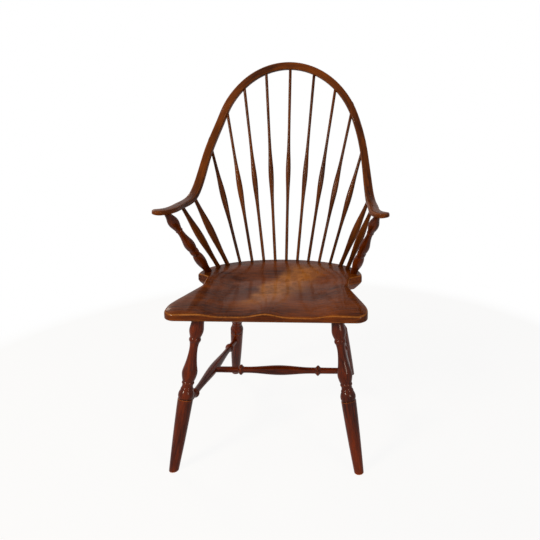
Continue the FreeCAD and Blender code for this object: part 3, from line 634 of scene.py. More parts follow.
def seat_rings():
    """All rings of the seat with their heights, and how proud each point stands."""
    middle = point(0, SADDLE_BACK_Y)
    rim = inward(OUTLINE, RIM)
    shares = np.linspace(0.012, 1, 96) ** 0.85
    flat = [middle + (rim - middle) * share for share in shares]
    turn = np.radians(np.linspace(0, 90, 12))[1:]
    rounding = [(RIM * (1 - np.sin(a)), RIM * (1 - np.cos(a))) for a in turn]
    flat += [inward(OUTLINE, inset) for inset, drop in rounding]
    drops = [0.0] * len(shares) + [drop for inset, drop in rounding]
    rings = []
    for ring, drop in zip(flat, drops):
        inset = edge_distance(ring, OUTLINE[::2])
        height = np.minimum(saddle_height(ring[:, 0], ring[:, 1], inset), SEAT_TOP)
        rings.append(np.column_stack([ring, height - drop]))
    low = underside_height(OUTLINE[:, 1], 0 * OUTLINE[:, 1])
    top = rings[-1][:, 2]
    side_shares = (0.12, 0.3, 0.5, 0.7, 0.88)
    for share in side_shares:
        rings.append(np.column_stack([OUTLINE, top + (low + LOWER_RIM - top) * share]))
    lower_turn = np.radians(np.linspace(0, 65, 6))
    for a in lower_turn:
        inset = LOWER_RIM * (1 - np.cos(a))
        z = low + LOWER_RIM * (1 - np.sin(a))
        rings.append(np.column_stack([inward(OUTLINE, inset), z]))
    for share in np.concatenate([np.linspace(0.985, 0.86, 12), np.linspace(0.8, 0.02, 16)]):
        ring = middle + (OUTLINE - middle) * share
        inset = edge_distance(ring, OUTLINE[::2])
        rings.append(np.column_stack([ring, underside_height(ring[:, 1], inset)]))
    rings = np.array(rings)
    ridge = np.zeros(rings.shape[:2])
    first = len(shares)
    bell = np.exp(-((np.arange(len(rounding)) - 4.0) / 2.6) ** 2)
    ridge[first:first + len(rounding)] = 0.62 * bell[:, None]
    last = first + len(rounding) + len(side_shares)
    ridge[last:last + len(lower_turn)] = 0.4
    return rings, ridge


rings, ridge = seat_rings()
place = rings[..., [1, 2, 0]] + point(30, -330, 0)
seat_shell = shell(rings, place, ridge)
print("seat rings:", rings.shape)

# %% [markdown]
# ### Finish of the seat
#
# The plank's grain runs from side to side, so carving it has cut the yearly
# rings into long loops. A paler diagonal band across the middle is a painted
# reflection of the room's light on the polish, laid in as worn colour. Three
# small knots bend the figure beside it.

# %% Seat material


# Place on the seat and radius of each knot, in metres
SEAT_KNOTS = ((-0.062, -0.074, 0.014), (0.012, -0.098, 0.009), (-0.118, -0.012, 0.008))


def seat_finish():
    """The shared wood, with knots that push the rings aside and a painted reflection band."""
    material = wood("seat stain", (44, 18, 3), (114, 57, 14), (184, 118, 52), 0.58, 0.15,
                    ring_scale=30.0, bump=0.22)
    tree = material.node_tree
    tree.nodes["Principled BSDF"].inputs["Coat Roughness"].default_value = 0.14
    stain = next(n for n in tree.nodes if n.type == "GROUP" and n.node_tree == STAIN)
    figure = next(n for n in tree.nodes if n.type == "GROUP" and n.node_tree == FIGURE)
    where = add(tree, "ShaderNodeTexCoord").outputs["Object"]
    across = add(tree, "ShaderNodeSeparateXYZ", {0: where})
    # Painted reflection: a paler diagonal band across the middle, where the room's light shines on
    # the polish, takes the worn colour.
    slant = maths(tree, "MULTIPLY_ADD", across.outputs["Y"], -0.42, across.outputs["X"])
    wander = add(tree, "ShaderNodeTexNoise", {"Vector": where, "Scale": 11.0, "Detail": 4.0})
    slant = maths(tree, "MULTIPLY_ADD", wander.outputs["Fac"], 0.12, slant)
    left = between(tree, slant, 0.03, 0.07)
    right = between(tree, slant, 0.2, 0.1)
    inside = maths(tree, "MULTIPLY", between(tree, across.outputs["Y"], 0.12, 0.03),
                   between(tree, across.outputs["Y"], -0.24, -0.13))
    painted_sheen = maths(tree, "MULTIPLY", maths(tree, "MULTIPLY", left, right), inside)
    tree.links.new(maths(tree, "MULTIPLY", painted_sheen, 0.7), stain.inputs["Painted Sheen"])
    pushed = place_of(tree)
    for x, y, size in SEAT_KNOTS:
        away = add(tree, "ShaderNodeVectorMath", {0: where, 1: (x, y, 0.422)}, operation="SUBTRACT")
        far = add(tree, "ShaderNodeVectorMath", {0: scaled(tree, away.outputs[0], 0.55, 1, 0.3)},
                  operation="LENGTH").outputs["Value"]
        push = between(tree, far, size * 3.2, 0.0)
        push = maths(tree, "MULTIPLY", push, size * 0.9)
        shove = add(tree, "ShaderNodeCombineXYZ", {"X": push, "Y": push})
        pushed = add(tree, "ShaderNodeVectorMath", {0: pushed, 1: shove.outputs[0]},
                     operation="ADD").outputs[0]
    tree.links.new(pushed, figure.inputs["Place"])
    return material


def place_of(tree):
    """The socket that reads grain_place in a material."""
    return next(n for n in tree.nodes
                if n.type == "ATTRIBUTE" and n.attribute_name == "grain_place").outputs["Vector"]


SEAT_WOOD = seat_finish()
make_piece("seat", [seat_shell], SEAT_WOOD)

# %% [markdown]
# ## The bow
#
# One long strip of wood, steamed and bent round a form: a hoop that leans back,
# then a twist and a sweep forward into each arm, ending in a flat hand. Its
# line is a batten through a few points, and its section is a soft rectangle
# that changes slowly along the way. A grid of section times length gives it.

# %% Line of the bow
HOOP_RAKE = 0.309
HOOP_SLOPE = np.arctan(HOOP_RAKE)
HOOP_HALF_WIDTH = 224.4
HOOP_RISE = 264.6
HOOP_CENTRE_UP_SLOPE = 809.4
HOOP_FOOT_Y = -24.0
BOW_TURN_START = 430.0
BOW_TURN_LENGTH = 170.0
ARM_POINTS = ((237.8, 165.2, 764.8), (258.6, 45.6, 651.2), (268.2, -40.0, 646.0),
              (280.2, -119.8, 648.7), (305.6, -154.6, 652.4))
# Distance from the crown, width and depth
BOW_SECTIONS = point((0, 23.2, 20.4), (150, 23.2, 22.0), (300, 23.4, 24.8), (430, 23.6, 24.0),
                     (530, 25.6, 19.8), (610, 28.0, 17.0), (700, 29.5, 15.8), (750, 33.0, 15.0),
                     (780, 37.5, 14.4))
HAND_ROUNDING = 17.0
SECTION_POWER = 3.8


def bow_line():
    """Dense points on the bow from the left hand to the right, and distance from the crown."""
    angle = np.radians(np.arange(0, 71, 10))
    up = HOOP_CENTRE_UP_SLOPE + HOOP_RISE * np.cos(angle)
    hoop = np.stack([HOOP_HALF_WIDTH * np.sin(angle), HOOP_FOOT_Y + up * np.sin(HOOP_SLOPE),
                     up * np.cos(HOOP_SLOPE)], -1)
    half = np.vstack([hoop, ARM_POINTS])
    points = np.vstack([mirror(half[:0:-1]), half])
    knots = walk(points)
    dense = batten(knots, points, np.linspace(0, knots[-1], 8001))
    length = walk(dense)
    return dense, length - length[-1] / 2


LINE, LINE_AT = bow_line()
HALF_BOW = LINE_AT[-1]


def bow_frame(distance):
    """Centre, direction along, outward and face directions at distances from the crown."""
    centre = np.stack([np.interp(distance, LINE_AT, LINE[:, axis]) for axis in range(3)], -1)
    ahead = np.stack([np.interp(distance + 0.5, LINE_AT, LINE[:, axis]) for axis in range(3)], -1)
    back = np.stack([np.interp(distance - 0.5, LINE_AT, LINE[:, axis]) for axis in range(3)], -1)
    tangent = unit(ahead - back)
    turn = smooth_step((np.abs(distance) - BOW_TURN_START) / BOW_TURN_LENGTH)[..., None]
    face = point(0, -np.cos(HOOP_SLOPE), np.sin(HOOP_SLOPE)) * (1 - turn) + point(0, 0, 1) * turn
    outward = unit(np.cross(face, tangent))
    return centre, tangent, outward, np.cross(tangent, outward)


def bow_size(distance):
    """Width and depth, each stepping smoothly from one measured section to the next."""
    away = np.abs(distance)
    low = np.clip(np.searchsorted(BOW_SECTIONS[:, 0], away, side="right") - 1, 0,
                  len(BOW_SECTIONS) - 2)
    start = BOW_SECTIONS[low]
    end = BOW_SECTIONS[low + 1]
    share = smooth_step((away - start[..., 0]) / (end[..., 0] - start[..., 0]))[..., None]
    return start[..., 1:] + (end[..., 1:] - start[..., 1:]) * share


print("bow: %.0f mm from hand to hand" % (2 * HALF_BOW))

# %% Skin of the bow


def soft_corner(angle):
    """A rounded rectangle of half size 1: cosine and sine, each raised to 2 / power."""
    c, s = np.cos(angle), np.sin(angle)
    lift = 2.0 / SECTION_POWER
    return np.sign(c) * np.abs(c) ** lift, np.sign(s) * np.abs(s) ** lift


def bow_shell():
    """Centre + outward * half width * cosine part + face * half depth * sine part."""
    plain = HALF_BOW - HAND_ROUNDING
    straight = np.linspace(-plain, plain, 620)
    turn = np.radians(np.linspace(0, 88, 14))[1:]
    tips = plain + HAND_ROUNDING * np.sin(turn)
    distance = np.concatenate([-tips[::-1], straight, tips])
    shrink = np.concatenate([np.cos(turn)[::-1], np.ones(len(straight)), np.cos(turn)])
    centre, along, outward, face = bow_frame(distance)
    half = bow_size(distance) / 2
    width = half[:, 0] * shrink
    depth = half[:, 1] * (1 + shrink) / 2
    angle = np.linspace(0, 2 * np.pi, 56, endpoint=False)
    across, out = soft_corner(angle)
    rings = (centre[:, None] + outward[:, None] * (width[:, None] * across)[..., None]
             + face[:, None] * (depth[:, None] * out)[..., None])
    place = np.stack([width[:, None] * across, depth[:, None] * out,
                      distance[:, None] + 0 * across], -1)
    corner = smooth_step((np.minimum(np.abs(across), np.abs(out)) - 0.6) / 0.25)
    ridge = np.repeat(corner[None] * 0.5, len(distance), axis=0)
    return shell(rings, place + point(11, 37, 0), ridge)


make_piece("bow", [bow_shell()], BOW_WOOD)

# %% [markdown]
# ## Turnings
#
# Legs, posts, spindles and stretchers all come from a lathe: a profile turned
# about a line. The profile is split where the maker's tool left a crisp corner,
# and its points crowd together there so that the corner stays crisp in the
# light while beads and swells stay soft.

# %% The lathe


def profile(stretches, fine=1.0):
    """Distance along the axis and radius, sampled densely from (distance, diameter) pairs."""
    parts = []
    for stretch in stretches:
        points = point(*stretch) * point(1, 0.5)
        count = max(7, int(np.ptp(points[:, 0]) / fine))
        share = (1 - np.cos(np.pi * np.linspace(0, 1, count))) / 2
        if len(points) == 2:
            parts.append(points[0] + (points[1] - points[0]) * share[:, None])
        else:
            knots = walk(points)
            parts.append(batten(knots, points, share * knots[-1]))
    joined = np.vstack([part[:-1] for part in parts] + [parts[-1][-1:]])
    return joined[:, 0], joined[:, 1]


PROUD_STEP = 0.25
PROUD_WINDOW = 9.0


def proudness(height, radius, full=1.3):
    """Radius minus its own average over about a centimetre, from -1 to 1."""
    order = np.argsort(height)
    even_height = np.arange(height.min(), height.max(), PROUD_STEP)
    even_radius = np.interp(even_height, height[order], radius[order])
    count = int(PROUD_WINDOW / PROUD_STEP)
    kernel = np.hanning(count + 2)[1:-1]
    padded = np.pad(even_radius, count, mode="reflect", reflect_type="odd")
    average = np.convolve(padded, kernel / kernel.sum(), mode="same")[count:-count]
    return np.clip((radius - np.interp(height, even_height, average)) / full, -1, 1)


def axes_of(start, end):
    """Length, direction and two side directions of the line from start to end."""
    axis = unit(end - start)
    side = unit(np.cross(axis, point(0, 1, 0.02)))
    return np.linalg.norm(end - start), axis, side, np.cross(axis, side)


def lathe(start, end, height, radius, around, shift=0.0):
    """Start + axis * height + radius * (side * cosine + other * sine) for every angle.

    `shift` moves single points along the axis, for a sawn-off end.
    """
    axis, side, other = axes_of(start, end)[1:]
    angle = np.linspace(0, 2 * np.pi, around, endpoint=False)
    round_about = side * np.cos(angle)[:, None] + other * np.sin(angle)[:, None]
    up = height[:, None] + shift + 0 * angle
    rings = start + up[..., None] * axis + radius[:, None, None] * round_about
    place = np.stack([radius[:, None] * np.cos(angle), radius[:, None] * np.sin(angle), up], -1)
    return rings, place


along = np.arange(0, 60, 1.0)
bead = 8 + np.exp(-(along - 30) ** 2 / 9)
print("a bead on a flat stands proud by", proudness(along, bead).max().round(2))

# %% [markdown]
# ## Legs
#
# Each leg has the classic shape from the floor up: a long taper, a groove and a
# bulging shoulder, rings, a slim vase that swells upwards, one more ring and a
# bulb under the seat. It leans outwards two ways, so its sole is sawn level:
# each line of the taper starts a little higher or lower to meet the floor.

# %% Leg turning
FRONT_LEG = (point(178.4, -226.0, 393.0), point(240.4, -300.0, 0.0), 212.0)
REAR_LEG = (point(140.0, 76.0, 393.0), point(196.0, 245.0, 0.0), 226.0)
LEG_TURNING = (
    ((-2.0, 39.2), (0.0, 34.0), (1.5, 37.2)),
    ((1.5, 37.2), (5.0, 39.4), (9.5, 40.2), (16.0, 37.8), (22.5, 32.4)),
    ((22.5, 32.4), (25.5, 32.6), (28.5, 29.6)),
    ((28.5, 29.6), (33.5, 27.6), (37.5, 28.8)),
    ((37.5, 28.8), (41.0, 31.8), (44.8, 29.0)),
    ((44.8, 29.0), (50.0, 32.4), (58.0, 36.6), (68.0, 38.9), (80.0, 35.0), (94.0, 28.8),
     (108.0, 24.6), (121.0, 21.8), (133.0, 21.2), (142.0, 22.6), (148.0, 25.4)),
    ((148.0, 25.4), (154.0, 30.4), (160.5, 26.6)),
    ((160.5, 26.6), (167.0, 31.4), (178.0, 36.4), (192.0, 34.2), (208.0, 31.2)),
)
SOLE = 24.4
TAPER_MIDDLE = 33.4
SHOULDER = 39.2
FOOT_EDGE = 2.0
INTO_SEAT = 8.0
LEG_AROUND = 60


def leg_shell(top, foot, groove_drop, number):
    """Taper, turning and top, with the sole's ring slid along the axis onto the floor."""
    length, axis, side, other = axes_of(foot, top)
    groove = length - groove_drop
    shoulder = groove - 2.0
    edge = [(FOOT_EDGE * (1 - np.cos(a)), SOLE - 2 * FOOT_EDGE * (1 - np.sin(a)))
            for a in np.radians((0, 15, 30, 45, 60, 75, 90))]
    stretches = [((0.0, 8.0), (0.0, SOLE - 2 * FOOT_EDGE)), edge,
                 ((FOOT_EDGE, SOLE), (shoulder / 2, TAPER_MIDDLE), (shoulder, SHOULDER))]
    stretches += [[(groove + h, d) for h, d in stretch] for stretch in LEG_TURNING]
    last_height, last_size = LEG_TURNING[-1][-1]
    stretches += [((groove + last_height, last_size), (length + INTO_SEAT, 31.0))]
    height, radius = profile(stretches)
    angle = np.linspace(0, 2 * np.pi, LEG_AROUND, endpoint=False)
    lean = (side[2] * np.cos(angle) + other[2] * np.sin(angle)) / axis[2]
    fade = 1 - smooth_step(height / 90.0)
    shift = -radius[:, None] * lean * fade[:, None]
    rings, place = lathe(foot, top, height, radius, LEG_AROUND, shift)
    ridge = np.repeat(proudness(height, radius)[:, None], LEG_AROUND, axis=1)
    near_seat = smooth_step((height - (length - 7.0)) / 6.0)
    ridge -= near_seat[:, None] * 0.9
    return shell(rings, place + point(17 * number, 23, 90 * number), ridge)


number = 0
for name, (top, foot, drop) in (("front", FRONT_LEG), ("rear", REAR_LEG)):
    for side_name, place_for in (("right", lambda p: p), ("left", mirror)):
        number += 1
        part = leg_shell(place_for(top), place_for(foot), drop, number)
        make_piece("%s_leg_%s" % (name, side_name), [part], LEG_WOOD)

# %% [markdown]
# ## Stretchers
#
# Two side stretchers tie front leg to rear leg, and one in the middle ties the
# side stretchers together: an H that keeps the legs from spreading. Each is
# thin at its ends, swells in the middle and has a ring near both ends. The
# ends run on into the wood that they are glued into.

# %% Stretchers
STRETCHER_AROUND = 52


def at_height(foot, top, z):
    """The point of a leg's middle line at a height."""
    return foot + (top - foot) * (z - foot[2]) / (top[2] - foot[2])


def ring_shape(middle, diameter, beside):
    """A ring on a stretcher: two gently hollow slopes and a rounded, narrow top."""
    return (((middle - 8.0, beside), (middle - 5.0, beside + (diameter - beside) * 0.42),
             (middle - 2.2, diameter - 0.6)),
            ((middle - 2.2, diameter - 0.6), (middle, diameter), (middle + 2.2, diameter - 0.6)),
            ((middle + 2.2, diameter - 0.6), (middle + 5.0, beside + (diameter - beside) * 0.42),
             (middle + 8.0, beside)))


def stretcher_shell(start, end, ring_at, sizes, number):
    """Thin end, ring, long swell, ring, thin end."""
    thin, ring_size, neck, swell = sizes
    length = np.linalg.norm(end - start)
    inner = ring_at + 8.0
    span = length - 2 * inner
    shape = ((0.0, 0.0), (0.14, 0.08), (0.3, 0.58), (0.5, 1.0), (0.7, 0.58), (0.86, 0.08),
             (1.0, 0.0))
    middle = [(inner + span * s, neck + (swell - neck) * d) for s, d in shape]
    stretches = [((0.0, thin), (ring_at - 8.0, neck))]
    stretches += list(ring_shape(ring_at, ring_size, neck)) + [middle]
    stretches += list(ring_shape(length - ring_at, ring_size, neck))
    stretches += [((length - ring_at + 8.0, neck), (length, thin))]
    height, radius = profile(stretches)
    rings, place = lathe(start, end, height, radius, STRETCHER_AROUND)
    ridge = np.repeat(proudness(height, radius, full=2.0)[:, None], STRETCHER_AROUND, axis=1)
    return shell(rings, place + point(60 + 11 * number, 31, 140 * number), ridge)


SIDE_START = at_height(FRONT_LEG[1], FRONT_LEG[0], 165.0)
SIDE_END = at_height(REAR_LEG[1], REAR_LEG[0], 154.0)
for number, (side_name, place_for) in enumerate((("right", lambda p: p), ("left", mirror))):
    part = stretcher_shell(place_for(SIDE_START), place_for(SIDE_END), 74.0,
                           (16.0, 26.5, 17.0, 27.0), number)
    make_piece("side_stretcher_" + side_name, [part], LEG_WOOD)
cross = SIDE_START + (SIDE_END - SIDE_START) * 0.49
part = stretcher_shell(mirror(cross), cross, cross[0] - 112.0, (17.0, 30.0, 18.0, 28.0), 2)
make_piece("centre_stretcher", [part], LEG_WOOD)

# %% [markdown]
# ## Uprights
#
# A spindle stands in the seat's deck, runs through the bow and is split by a
# small wedge where it comes out, which locks it for good. The end that shows on
# the far side has to lie on the bow's curved skin. There the bow's own formula
# is solved for each point of the end: a step along the spindle is halved again
# and again until it is exactly at the surface.

# %% Where an upright leaves the bow


def deck_point(x):
    """Place on the deck's half ellipse: y = depth * root(1 - (x / half width) squared)."""
    return point(x, DECK_DEPTH * np.sqrt(1 - (x / DECK_HALF_WIDTH) ** 2), SEAT_TOP)


def exit_height(foot, head, distance, x, y):
    """How far beyond `head`, along the upright, its offset line (x, y) leaves the bow.

    Inside the bow the sum of (across / half width) and (out / half depth), each
    raised to the section's power, is below 1; halving finds where it is 1.
    """
    axis, side, other = axes_of(foot, head)[1:]
    centre, along, outward, face = (v[0] for v in bow_frame(point(distance)))
    half = bow_size(point(distance))[0] / 2
    start = head + x[..., None] * side + y[..., None] * other - centre
    low = np.zeros(x.shape)
    high = np.full(x.shape, 32.0)
    for step in range(26):
        middle = (low + high) / 2
        at = start + middle[..., None] * axis
        load = (np.abs(at @ outward / half[0]) ** SECTION_POWER
                + np.abs(at @ face / half[1]) ** SECTION_POWER)
        low = np.where(load < 1, middle, low)
        high = np.where(load < 1, high, middle)
    return (low + high) / 2


# Rings of a tenon's end: share of its radius, rise above the bow, and dirt round its rim
TENON_SHRINK = point(1, 1, 0.94, 0.72, 0.42, 0.14)
TENON_RISE = point(-0.4, 0.1, 0.3, 0.36, 0.38, 0.38)
TENON_RIDGE = point(-0.7, -0.7, -0.7, 0.1, 0.1, 0.1)


def upright_shell(foot, head, distance, stretches, tenon, number, around=40):
    """Body from inside the seat to inside the bow, then the tenon and its shaped end."""
    length = np.linalg.norm(head - foot)
    height, radius = profile(stretches, fine=1.6)
    keep = height < length - 1.0
    height, radius = height[keep], radius[keep]
    ridge = proudness(height, radius)
    ridge -= 0.9 * np.exp(-(height / 2.2) ** 2)
    angle = np.linspace(0, 2 * np.pi, around, endpoint=False)
    end_radius = tenon / 2 * TENON_SHRINK
    x = end_radius[:, None] * np.cos(angle)
    y = end_radius[:, None] * np.sin(angle)
    leave = exit_height(foot, head, distance, x, y) + TENON_RISE[:, None]
    all_radius = np.concatenate([radius, [tenon / 2], end_radius])
    up = np.vstack([np.repeat(height[:, None], around, axis=1), np.full((1, around), length - 0.5),
                    length + leave])
    rings, place = lathe(foot, head, 0 * all_radius, all_radius, around, up)
    ridge = np.concatenate([ridge, [0.0], TENON_RIDGE])
    ridge = np.repeat(ridge[:, None], around, axis=1)
    return shell(rings, place + point(9 + 13 * number, 41, 210 * number), ridge)


def wedge_shell(foot, head, distance, tenon):
    """A flat wedge across the tenon's end, square to the bow, its top on the same skin."""
    axis, side, other = axes_of(foot, head)[1:]
    along = bow_frame(point(distance))[1][0]
    across = unit(np.cross(along, axis))
    beside = np.cross(axis, across)
    angle = np.linspace(0, 2 * np.pi, 28, endpoint=False)
    wide, thin = soft_corner(angle)
    rings = []
    for shrink, rise, thick in ((1.0, -9.0, 0.45), (1.0, 0.2, 1.1), (0.97, 0.5, 1.0),
                                (0.6, 0.56, 0.6), (0.2, 0.56, 0.2)):
        a = wide * (tenon / 2 - 0.6) * shrink
        b = thin * thick
        flat = a[:, None] * across + b[:, None] * beside
        leave = exit_height(foot, head, distance, flat @ side, flat @ other)
        rings.append(head + flat + (leave + rise)[:, None] * axis)
    rings = np.array(rings)
    place = np.stack([(rings - head) @ across, (rings - head) @ beside, (rings - head) @ axis], -1)
    return shell(rings, place + point(5, 5, 0), np.zeros(rings.shape[:2]))


print("crown spindle leaves the bow after %.1f mm" % exit_height(
    deck_point(0.0), bow_frame(point(0.0))[0][0], 0.0, point(0.0), point(0.0))[0])

# %% [markdown]
# ## Back spindles
#
# Nine of them fan out from the deck to the hoop. They are whittled rather than
# turned: thin at both ends, with one long swell at the height of the sitter's
# back, a little lower and stouter towards the sides.

# %% Back spindles
# From the centre outwards: distance of the head from the crown, height and size of the swell
BACK_SPINDLES = ((0.0, 280.0, 15.0), (78.0, 268.0, 16.0), (161.0, 254.0, 16.6),
                 (253.0, 232.0, 17.2), (390.0, 210.0, 17.4))
SPINDLE_PITCH = 34.2
SPINDLE_END = 8.8
SPINDLE_TENON = 7.6
SWELL_HALF = 92.0


def back_profile(length, middle, diameter):
    """Thin ends of 8.8 mm, and a swell that reaches 92 mm up and down from its middle."""
    extra = diameter - SPINDLE_END
    shape = ((-1.0, 0.12), (-0.66, 0.38), (-0.32, 0.8), (0.0, 1.0), (0.32, 0.8), (0.66, 0.36),
             (1.0, 0.1))
    swell = [(middle + SWELL_HALF * s, SPINDLE_END + extra * d) for s, d in shape]
    start = [(-6.0, SPINDLE_END), (middle / 3, SPINDLE_END + extra * 0.04)]
    end = [((length + middle + SWELL_HALF) / 2, SPINDLE_END), (length, SPINDLE_END)]
    return (start + swell + end,)


wedges = []
for index, (distance, swell_at, swell) in enumerate(BACK_SPINDLES):
    for way in ((1,) if index == 0 else (1, -1)):
        foot = deck_point(SPINDLE_PITCH * index * way)
        head = bow_frame(point(distance * way))[0][0]
        stretches = back_profile(np.linalg.norm(head - foot), swell_at, swell)
        number = 5 + index * way
        part = upright_shell(foot, head, distance * way, stretches, SPINDLE_TENON, number)
        make_piece("back_spindle_%d" % number, [part], SPINDLE_WOOD)
        wedges.append(wedge_shell(foot, head, distance * way, SPINDLE_TENON))
make_piece("bow_wedges", wedges, WEDGE_WOOD)

# %% [markdown]
# ## Arm spindles and posts
#
# Under each arm stand two stout spindles and, in front, a fully turned post
# with the same beads and vases as the legs. All three lean outwards and
# forwards, and their tenons come out on top of the arm, where the wedges can
# be seen.

# %% Arm spindles and posts
POST_BEHIND_HAND = 39.4
# Diameters at the foot, at the swell and at the arm
ARM_SPINDLE_SIZES = (13.2, 21.0, 10.6)
POST_TURNING = (
    ((-12.0, 18.6), (6.0, 19.0), (20.0, 20.8), (34.0, 25.4), (48.0, 29.0), (60.0, 29.0),
     (71.0, 26.4), (80.0, 20.8)),
    ((80.0, 20.8), (86.0, 24.4), (92.0, 25.4), (98.0, 24.0)),
    ((98.0, 24.0), (100.5, 22.8), (103.0, 24.8)),
    ((103.0, 24.8), (112.0, 28.0), (121.0, 29.4), (132.0, 27.4), (146.0, 22.2),
     (160.0, 18.4), (173.0, 16.8), (180.0, 17.2)),
    ((180.0, 17.2), (182.5, 20.2), (185.0, 18.2)),
    ((185.0, 18.2), (196.0, 22.4), (208.0, 27.8), (216.0, 29.0), (225.0, 27.0),
     (235.0, 21.4), (245.0, 17.4)),
)


def arm_profile(length):
    """A swell a little above the middle, and hollow slopes down to both thin ends."""
    foot, swell, top = ARM_SPINDLE_SIZES
    middle = length * 0.52
    above = length - middle
    lower = [(middle * s, foot + (swell - foot) * d)
             for s, d in ((0.34, 0.03), (0.6, 0.45), (0.82, 0.86))]
    upper = [(middle + above * s, top + (swell - top) * d)
             for s, d in ((0.2, 0.88), (0.47, 0.46), (0.74, 0.08))]
    return ([(-6.0, foot)] + lower + [(middle, swell)] + upper + [(length, top)],)


def post_profile(length):
    """The post's turning, with its last stretch drawn out to the arm."""
    last = POST_TURNING[-1] + ((length, 16.2),)
    return POST_TURNING[:-1] + (last,)


# Name, foot's place on the deck, distance behind the post, inset of the head, profile,
# tenon and finish
UPRIGHTS = (("arm_spindle_rear", 169.8, 178.0, 3.0, arm_profile, 9.0, SPINDLE_WOOD),
            ("arm_spindle_front", 192.4, 88.0, 3.0, arm_profile, 9.0, SPINDLE_WOOD),
            ("arm_post", 211.9, 0.0, 0.0, post_profile, 13.0, POST_WOOD))
wedges = []
for kind, (name, x, behind, inset, shape, tenon, finish) in enumerate(UPRIGHTS):
    distance = HALF_BOW - POST_BEHIND_HAND - behind
    for way, side_name in ((1, "right"), (-1, "left")):
        foot = deck_point(x * way)
        centre, along, outward, face = (v[0] for v in bow_frame(point(distance * way)))
        head = centre - outward * inset
        stretches = shape(np.linalg.norm(head - foot))
        part = upright_shell(foot, head, distance * way, stretches, tenon, 11 + kind * 2 + way, 52)
        make_piece("%s_%s" % (name, side_name), [part], finish)
        wedges.append(wedge_shell(foot, head, distance * way, tenon))
make_piece("arm_wedges", wedges, WEDGE_WOOD)

# %% [markdown]
# ## The studio
#
# The chair was shown on plain white. A wide pale floor keeps a soft shadow near
# the chair and turns pure white further off. The world behind it is white only
# where it is seen, also in the polish, so that it doesn't flood the wood with
# light. One lamp at the front left models the turnings, a weaker one fills from
# the right, and a third lights the back of the hoop.

# %% Floor and world
WHITE = (1, 1, 1, 1)
FLOOR_CELLS = 12
# Distances from the chair over which the floor turns pure white, in metres
FLOOR_FADE = (0.45, 1.3)


def seen_rays(tree):
    """1 for what the camera sees directly, in a reflection or through a clear thing, else 0."""
    path = add(tree, "ShaderNodeLightPath").outputs
    seen = maths(tree, "MAXIMUM", path["Is Camera Ray"], path["Is Glossy Ray"])
    return maths(tree, "MAXIMUM", seen, path["Is Transmission Ray"])


def white_to_camera(tree, shading, near):
    """Mixes white into what is seen of the floor: near = share by the chair, all far off."""
    seen = seen_rays(tree)
    glow = add(tree, "ShaderNodeEmission", {"Color": WHITE, "Strength": 1.0})
    place = add(tree, "ShaderNodeNewGeometry").outputs["Position"]
    far = add(tree, "ShaderNodeVectorMath", {0: place}, operation="LENGTH").outputs["Value"]
    share = maths(tree, "MAXIMUM", between(tree, far, *FLOOR_FADE), near)
    factor = maths(tree, "MULTIPLY", seen, share)
    return add(tree, "ShaderNodeMixShader", {0: factor, 1: shading, 2: glow.outputs[0]}).outputs[0]


def make_floor():
    """A flat grid, 30 metres wide, at the height of the soles."""
    row = FLOOR_CELLS + 1
    side = np.linspace(-15, 15, row)
    x, y = np.meshgrid(side, side)
    points = np.stack([x, y, 0 * x], -1).reshape(-1, 3)
    i, j = np.meshgrid(np.arange(FLOOR_CELLS), np.arange(FLOOR_CELLS), indexing="ij")
    corner = i * row + j
    faces = np.stack([corner, corner + 1, corner + row + 1, corner + row], -1)
    mesh = bpy.data.meshes.new("studio_floor")
    mesh.from_pydata(points, [], faces.reshape(-1, 4).tolist())
    floor = bpy.data.objects.new("studio_floor", mesh)
    bpy.context.scene.collection.objects.link(floor)
    material = bpy.data.materials.new("studio floor")
    material.use_nodes = True
    tree = material.node_tree
    shader = tree.nodes["Principled BSDF"]
    shader.inputs["Base Color"].default_value = (0.6, 0.57, 0.52, 1)
    shader.inputs["Roughness"].default_value = 0.9
    shader.inputs["Specular IOR Level"].default_value = 0.1
    shown = white_to_camera(tree, shader.outputs[0], 0.92)
    tree.links.new(shown, tree.nodes["Material Output"].inputs["Surface"])
    mesh.materials.append(material)


def make_world(strength):
    """Soft even light of the given strength; plain white wherever it is seen."""
    world = bpy.data.worlds.new("studio")
    bpy.context.scene.world = world
    world.use_nodes = True
    tree = world.node_tree
    seen = seen_rays(tree)
    dim = tree.nodes["Background"]
    dim.inputs["Color"].default_value = (1.0, 0.9, 0.78, 1)
    dim.inputs["Strength"].default_value = strength
    white = add(tree, "ShaderNodeBackground", {"Color": WHITE, "Strength": 1.0})
    shown = add(tree, "ShaderNodeMixShader", {0: seen, 1: dim.outputs[0], 2: white.outputs[0]})
    tree.links.new(shown.outputs[0], tree.nodes["World Output"].inputs["Surface"])


make_floor()
make_world(0.2)

# %% Lamps
LAMP_COLOR = (1.0, 0.88, 0.72)


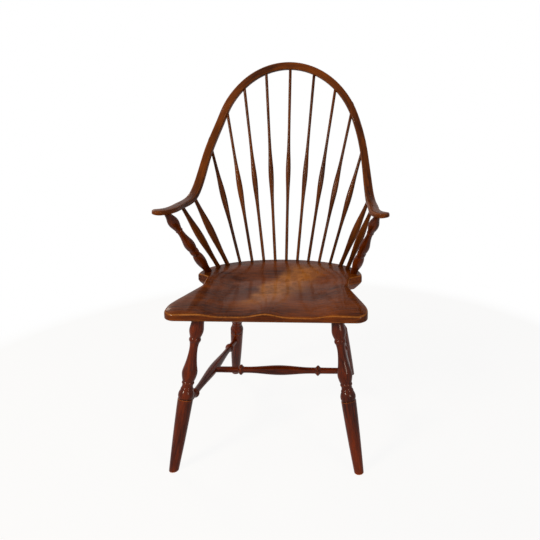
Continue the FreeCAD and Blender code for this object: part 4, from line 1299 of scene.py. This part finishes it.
def soft_lamp(name, place, target, size, power):
    """A square lamp that looks at a point: its third direction is target to lamp."""
    light = bpy.data.lights.new(name, "AREA")
    light.size = size
    light.energy = power
    light.color = LAMP_COLOR
    lamp = bpy.data.objects.new(name, light)
    back, right, up = look(point(*place), point(*target))
    lamp.matrix_world = Matrix(np.vstack([np.column_stack([right, up, back, place]),
                                          point(0, 0, 0, 1)]).tolist())
    lamp.visible_camera = False
    bpy.context.scene.collection.objects.link(lamp)


def look(place, target):
    """Back, right and up directions of something at place that looks at target."""
    back = unit(place - target)
    right = unit(np.cross(point(0, 0, 1), back))
    return back, right, np.cross(back, right)


soft_lamp("key", (-1.9, -2.3, 2.2), (0, 0, 0.5), 0.8, 100.0)
soft_lamp("fill", (2.0, -2.4, 1.5), (0, 0, 0.5), 0.9, 36.0)
soft_lamp("back", (-2.4, 2.6, 2.6), (0, 0, 0.5), 1.0, 50.0)

# %% [markdown]
# ## The camera
#
# The photograph was taken from about chest height, a little to the right of the
# chair. The chair stands low and left of where the lens points, which a small
# shift of the sensor repeats, so that upright lines stay nearly upright.

# %% Camera
SENSOR = 36.0
PICTURE = 540.0


def place_camera(place, azimuth, down, roll, focal_pixels, shift_x, shift_y):
    """Looks along (sin a cos d, cos a cos d, -sin d); roll turns right towards up."""
    ahead = point(np.sin(azimuth) * np.cos(down), np.cos(azimuth) * np.cos(down), -np.sin(down))
    right = point(np.cos(azimuth), -np.sin(azimuth), 0)
    up = np.cross(right, ahead)
    right, up = (right * np.cos(roll) + up * np.sin(roll), up * np.cos(roll) - right * np.sin(roll))
    data = bpy.data.cameras.new("camera")
    data.sensor_width = SENSOR
    data.lens = focal_pixels * SENSOR / PICTURE
    data.shift_x = shift_x
    data.shift_y = shift_y
    data.clip_end = 60.0
    camera = bpy.data.objects.new("camera", data)
    camera.matrix_world = Matrix(np.vstack([np.column_stack([right, up, -ahead, place * MM]),
                                            point(0, 0, 0, 1)]).tolist())
    bpy.context.scene.collection.objects.link(camera)
    bpy.context.scene.camera = camera
    return camera


camera = place_camera(point(276.7, -1797.5, 1043.0), 0.0024, 0.217, 0.0136, 650.4, -0.2, -0.12)
bpy.context.scene.view_settings.view_transform = "Standard"
print("lens: %.1f mm" % camera.data.lens)
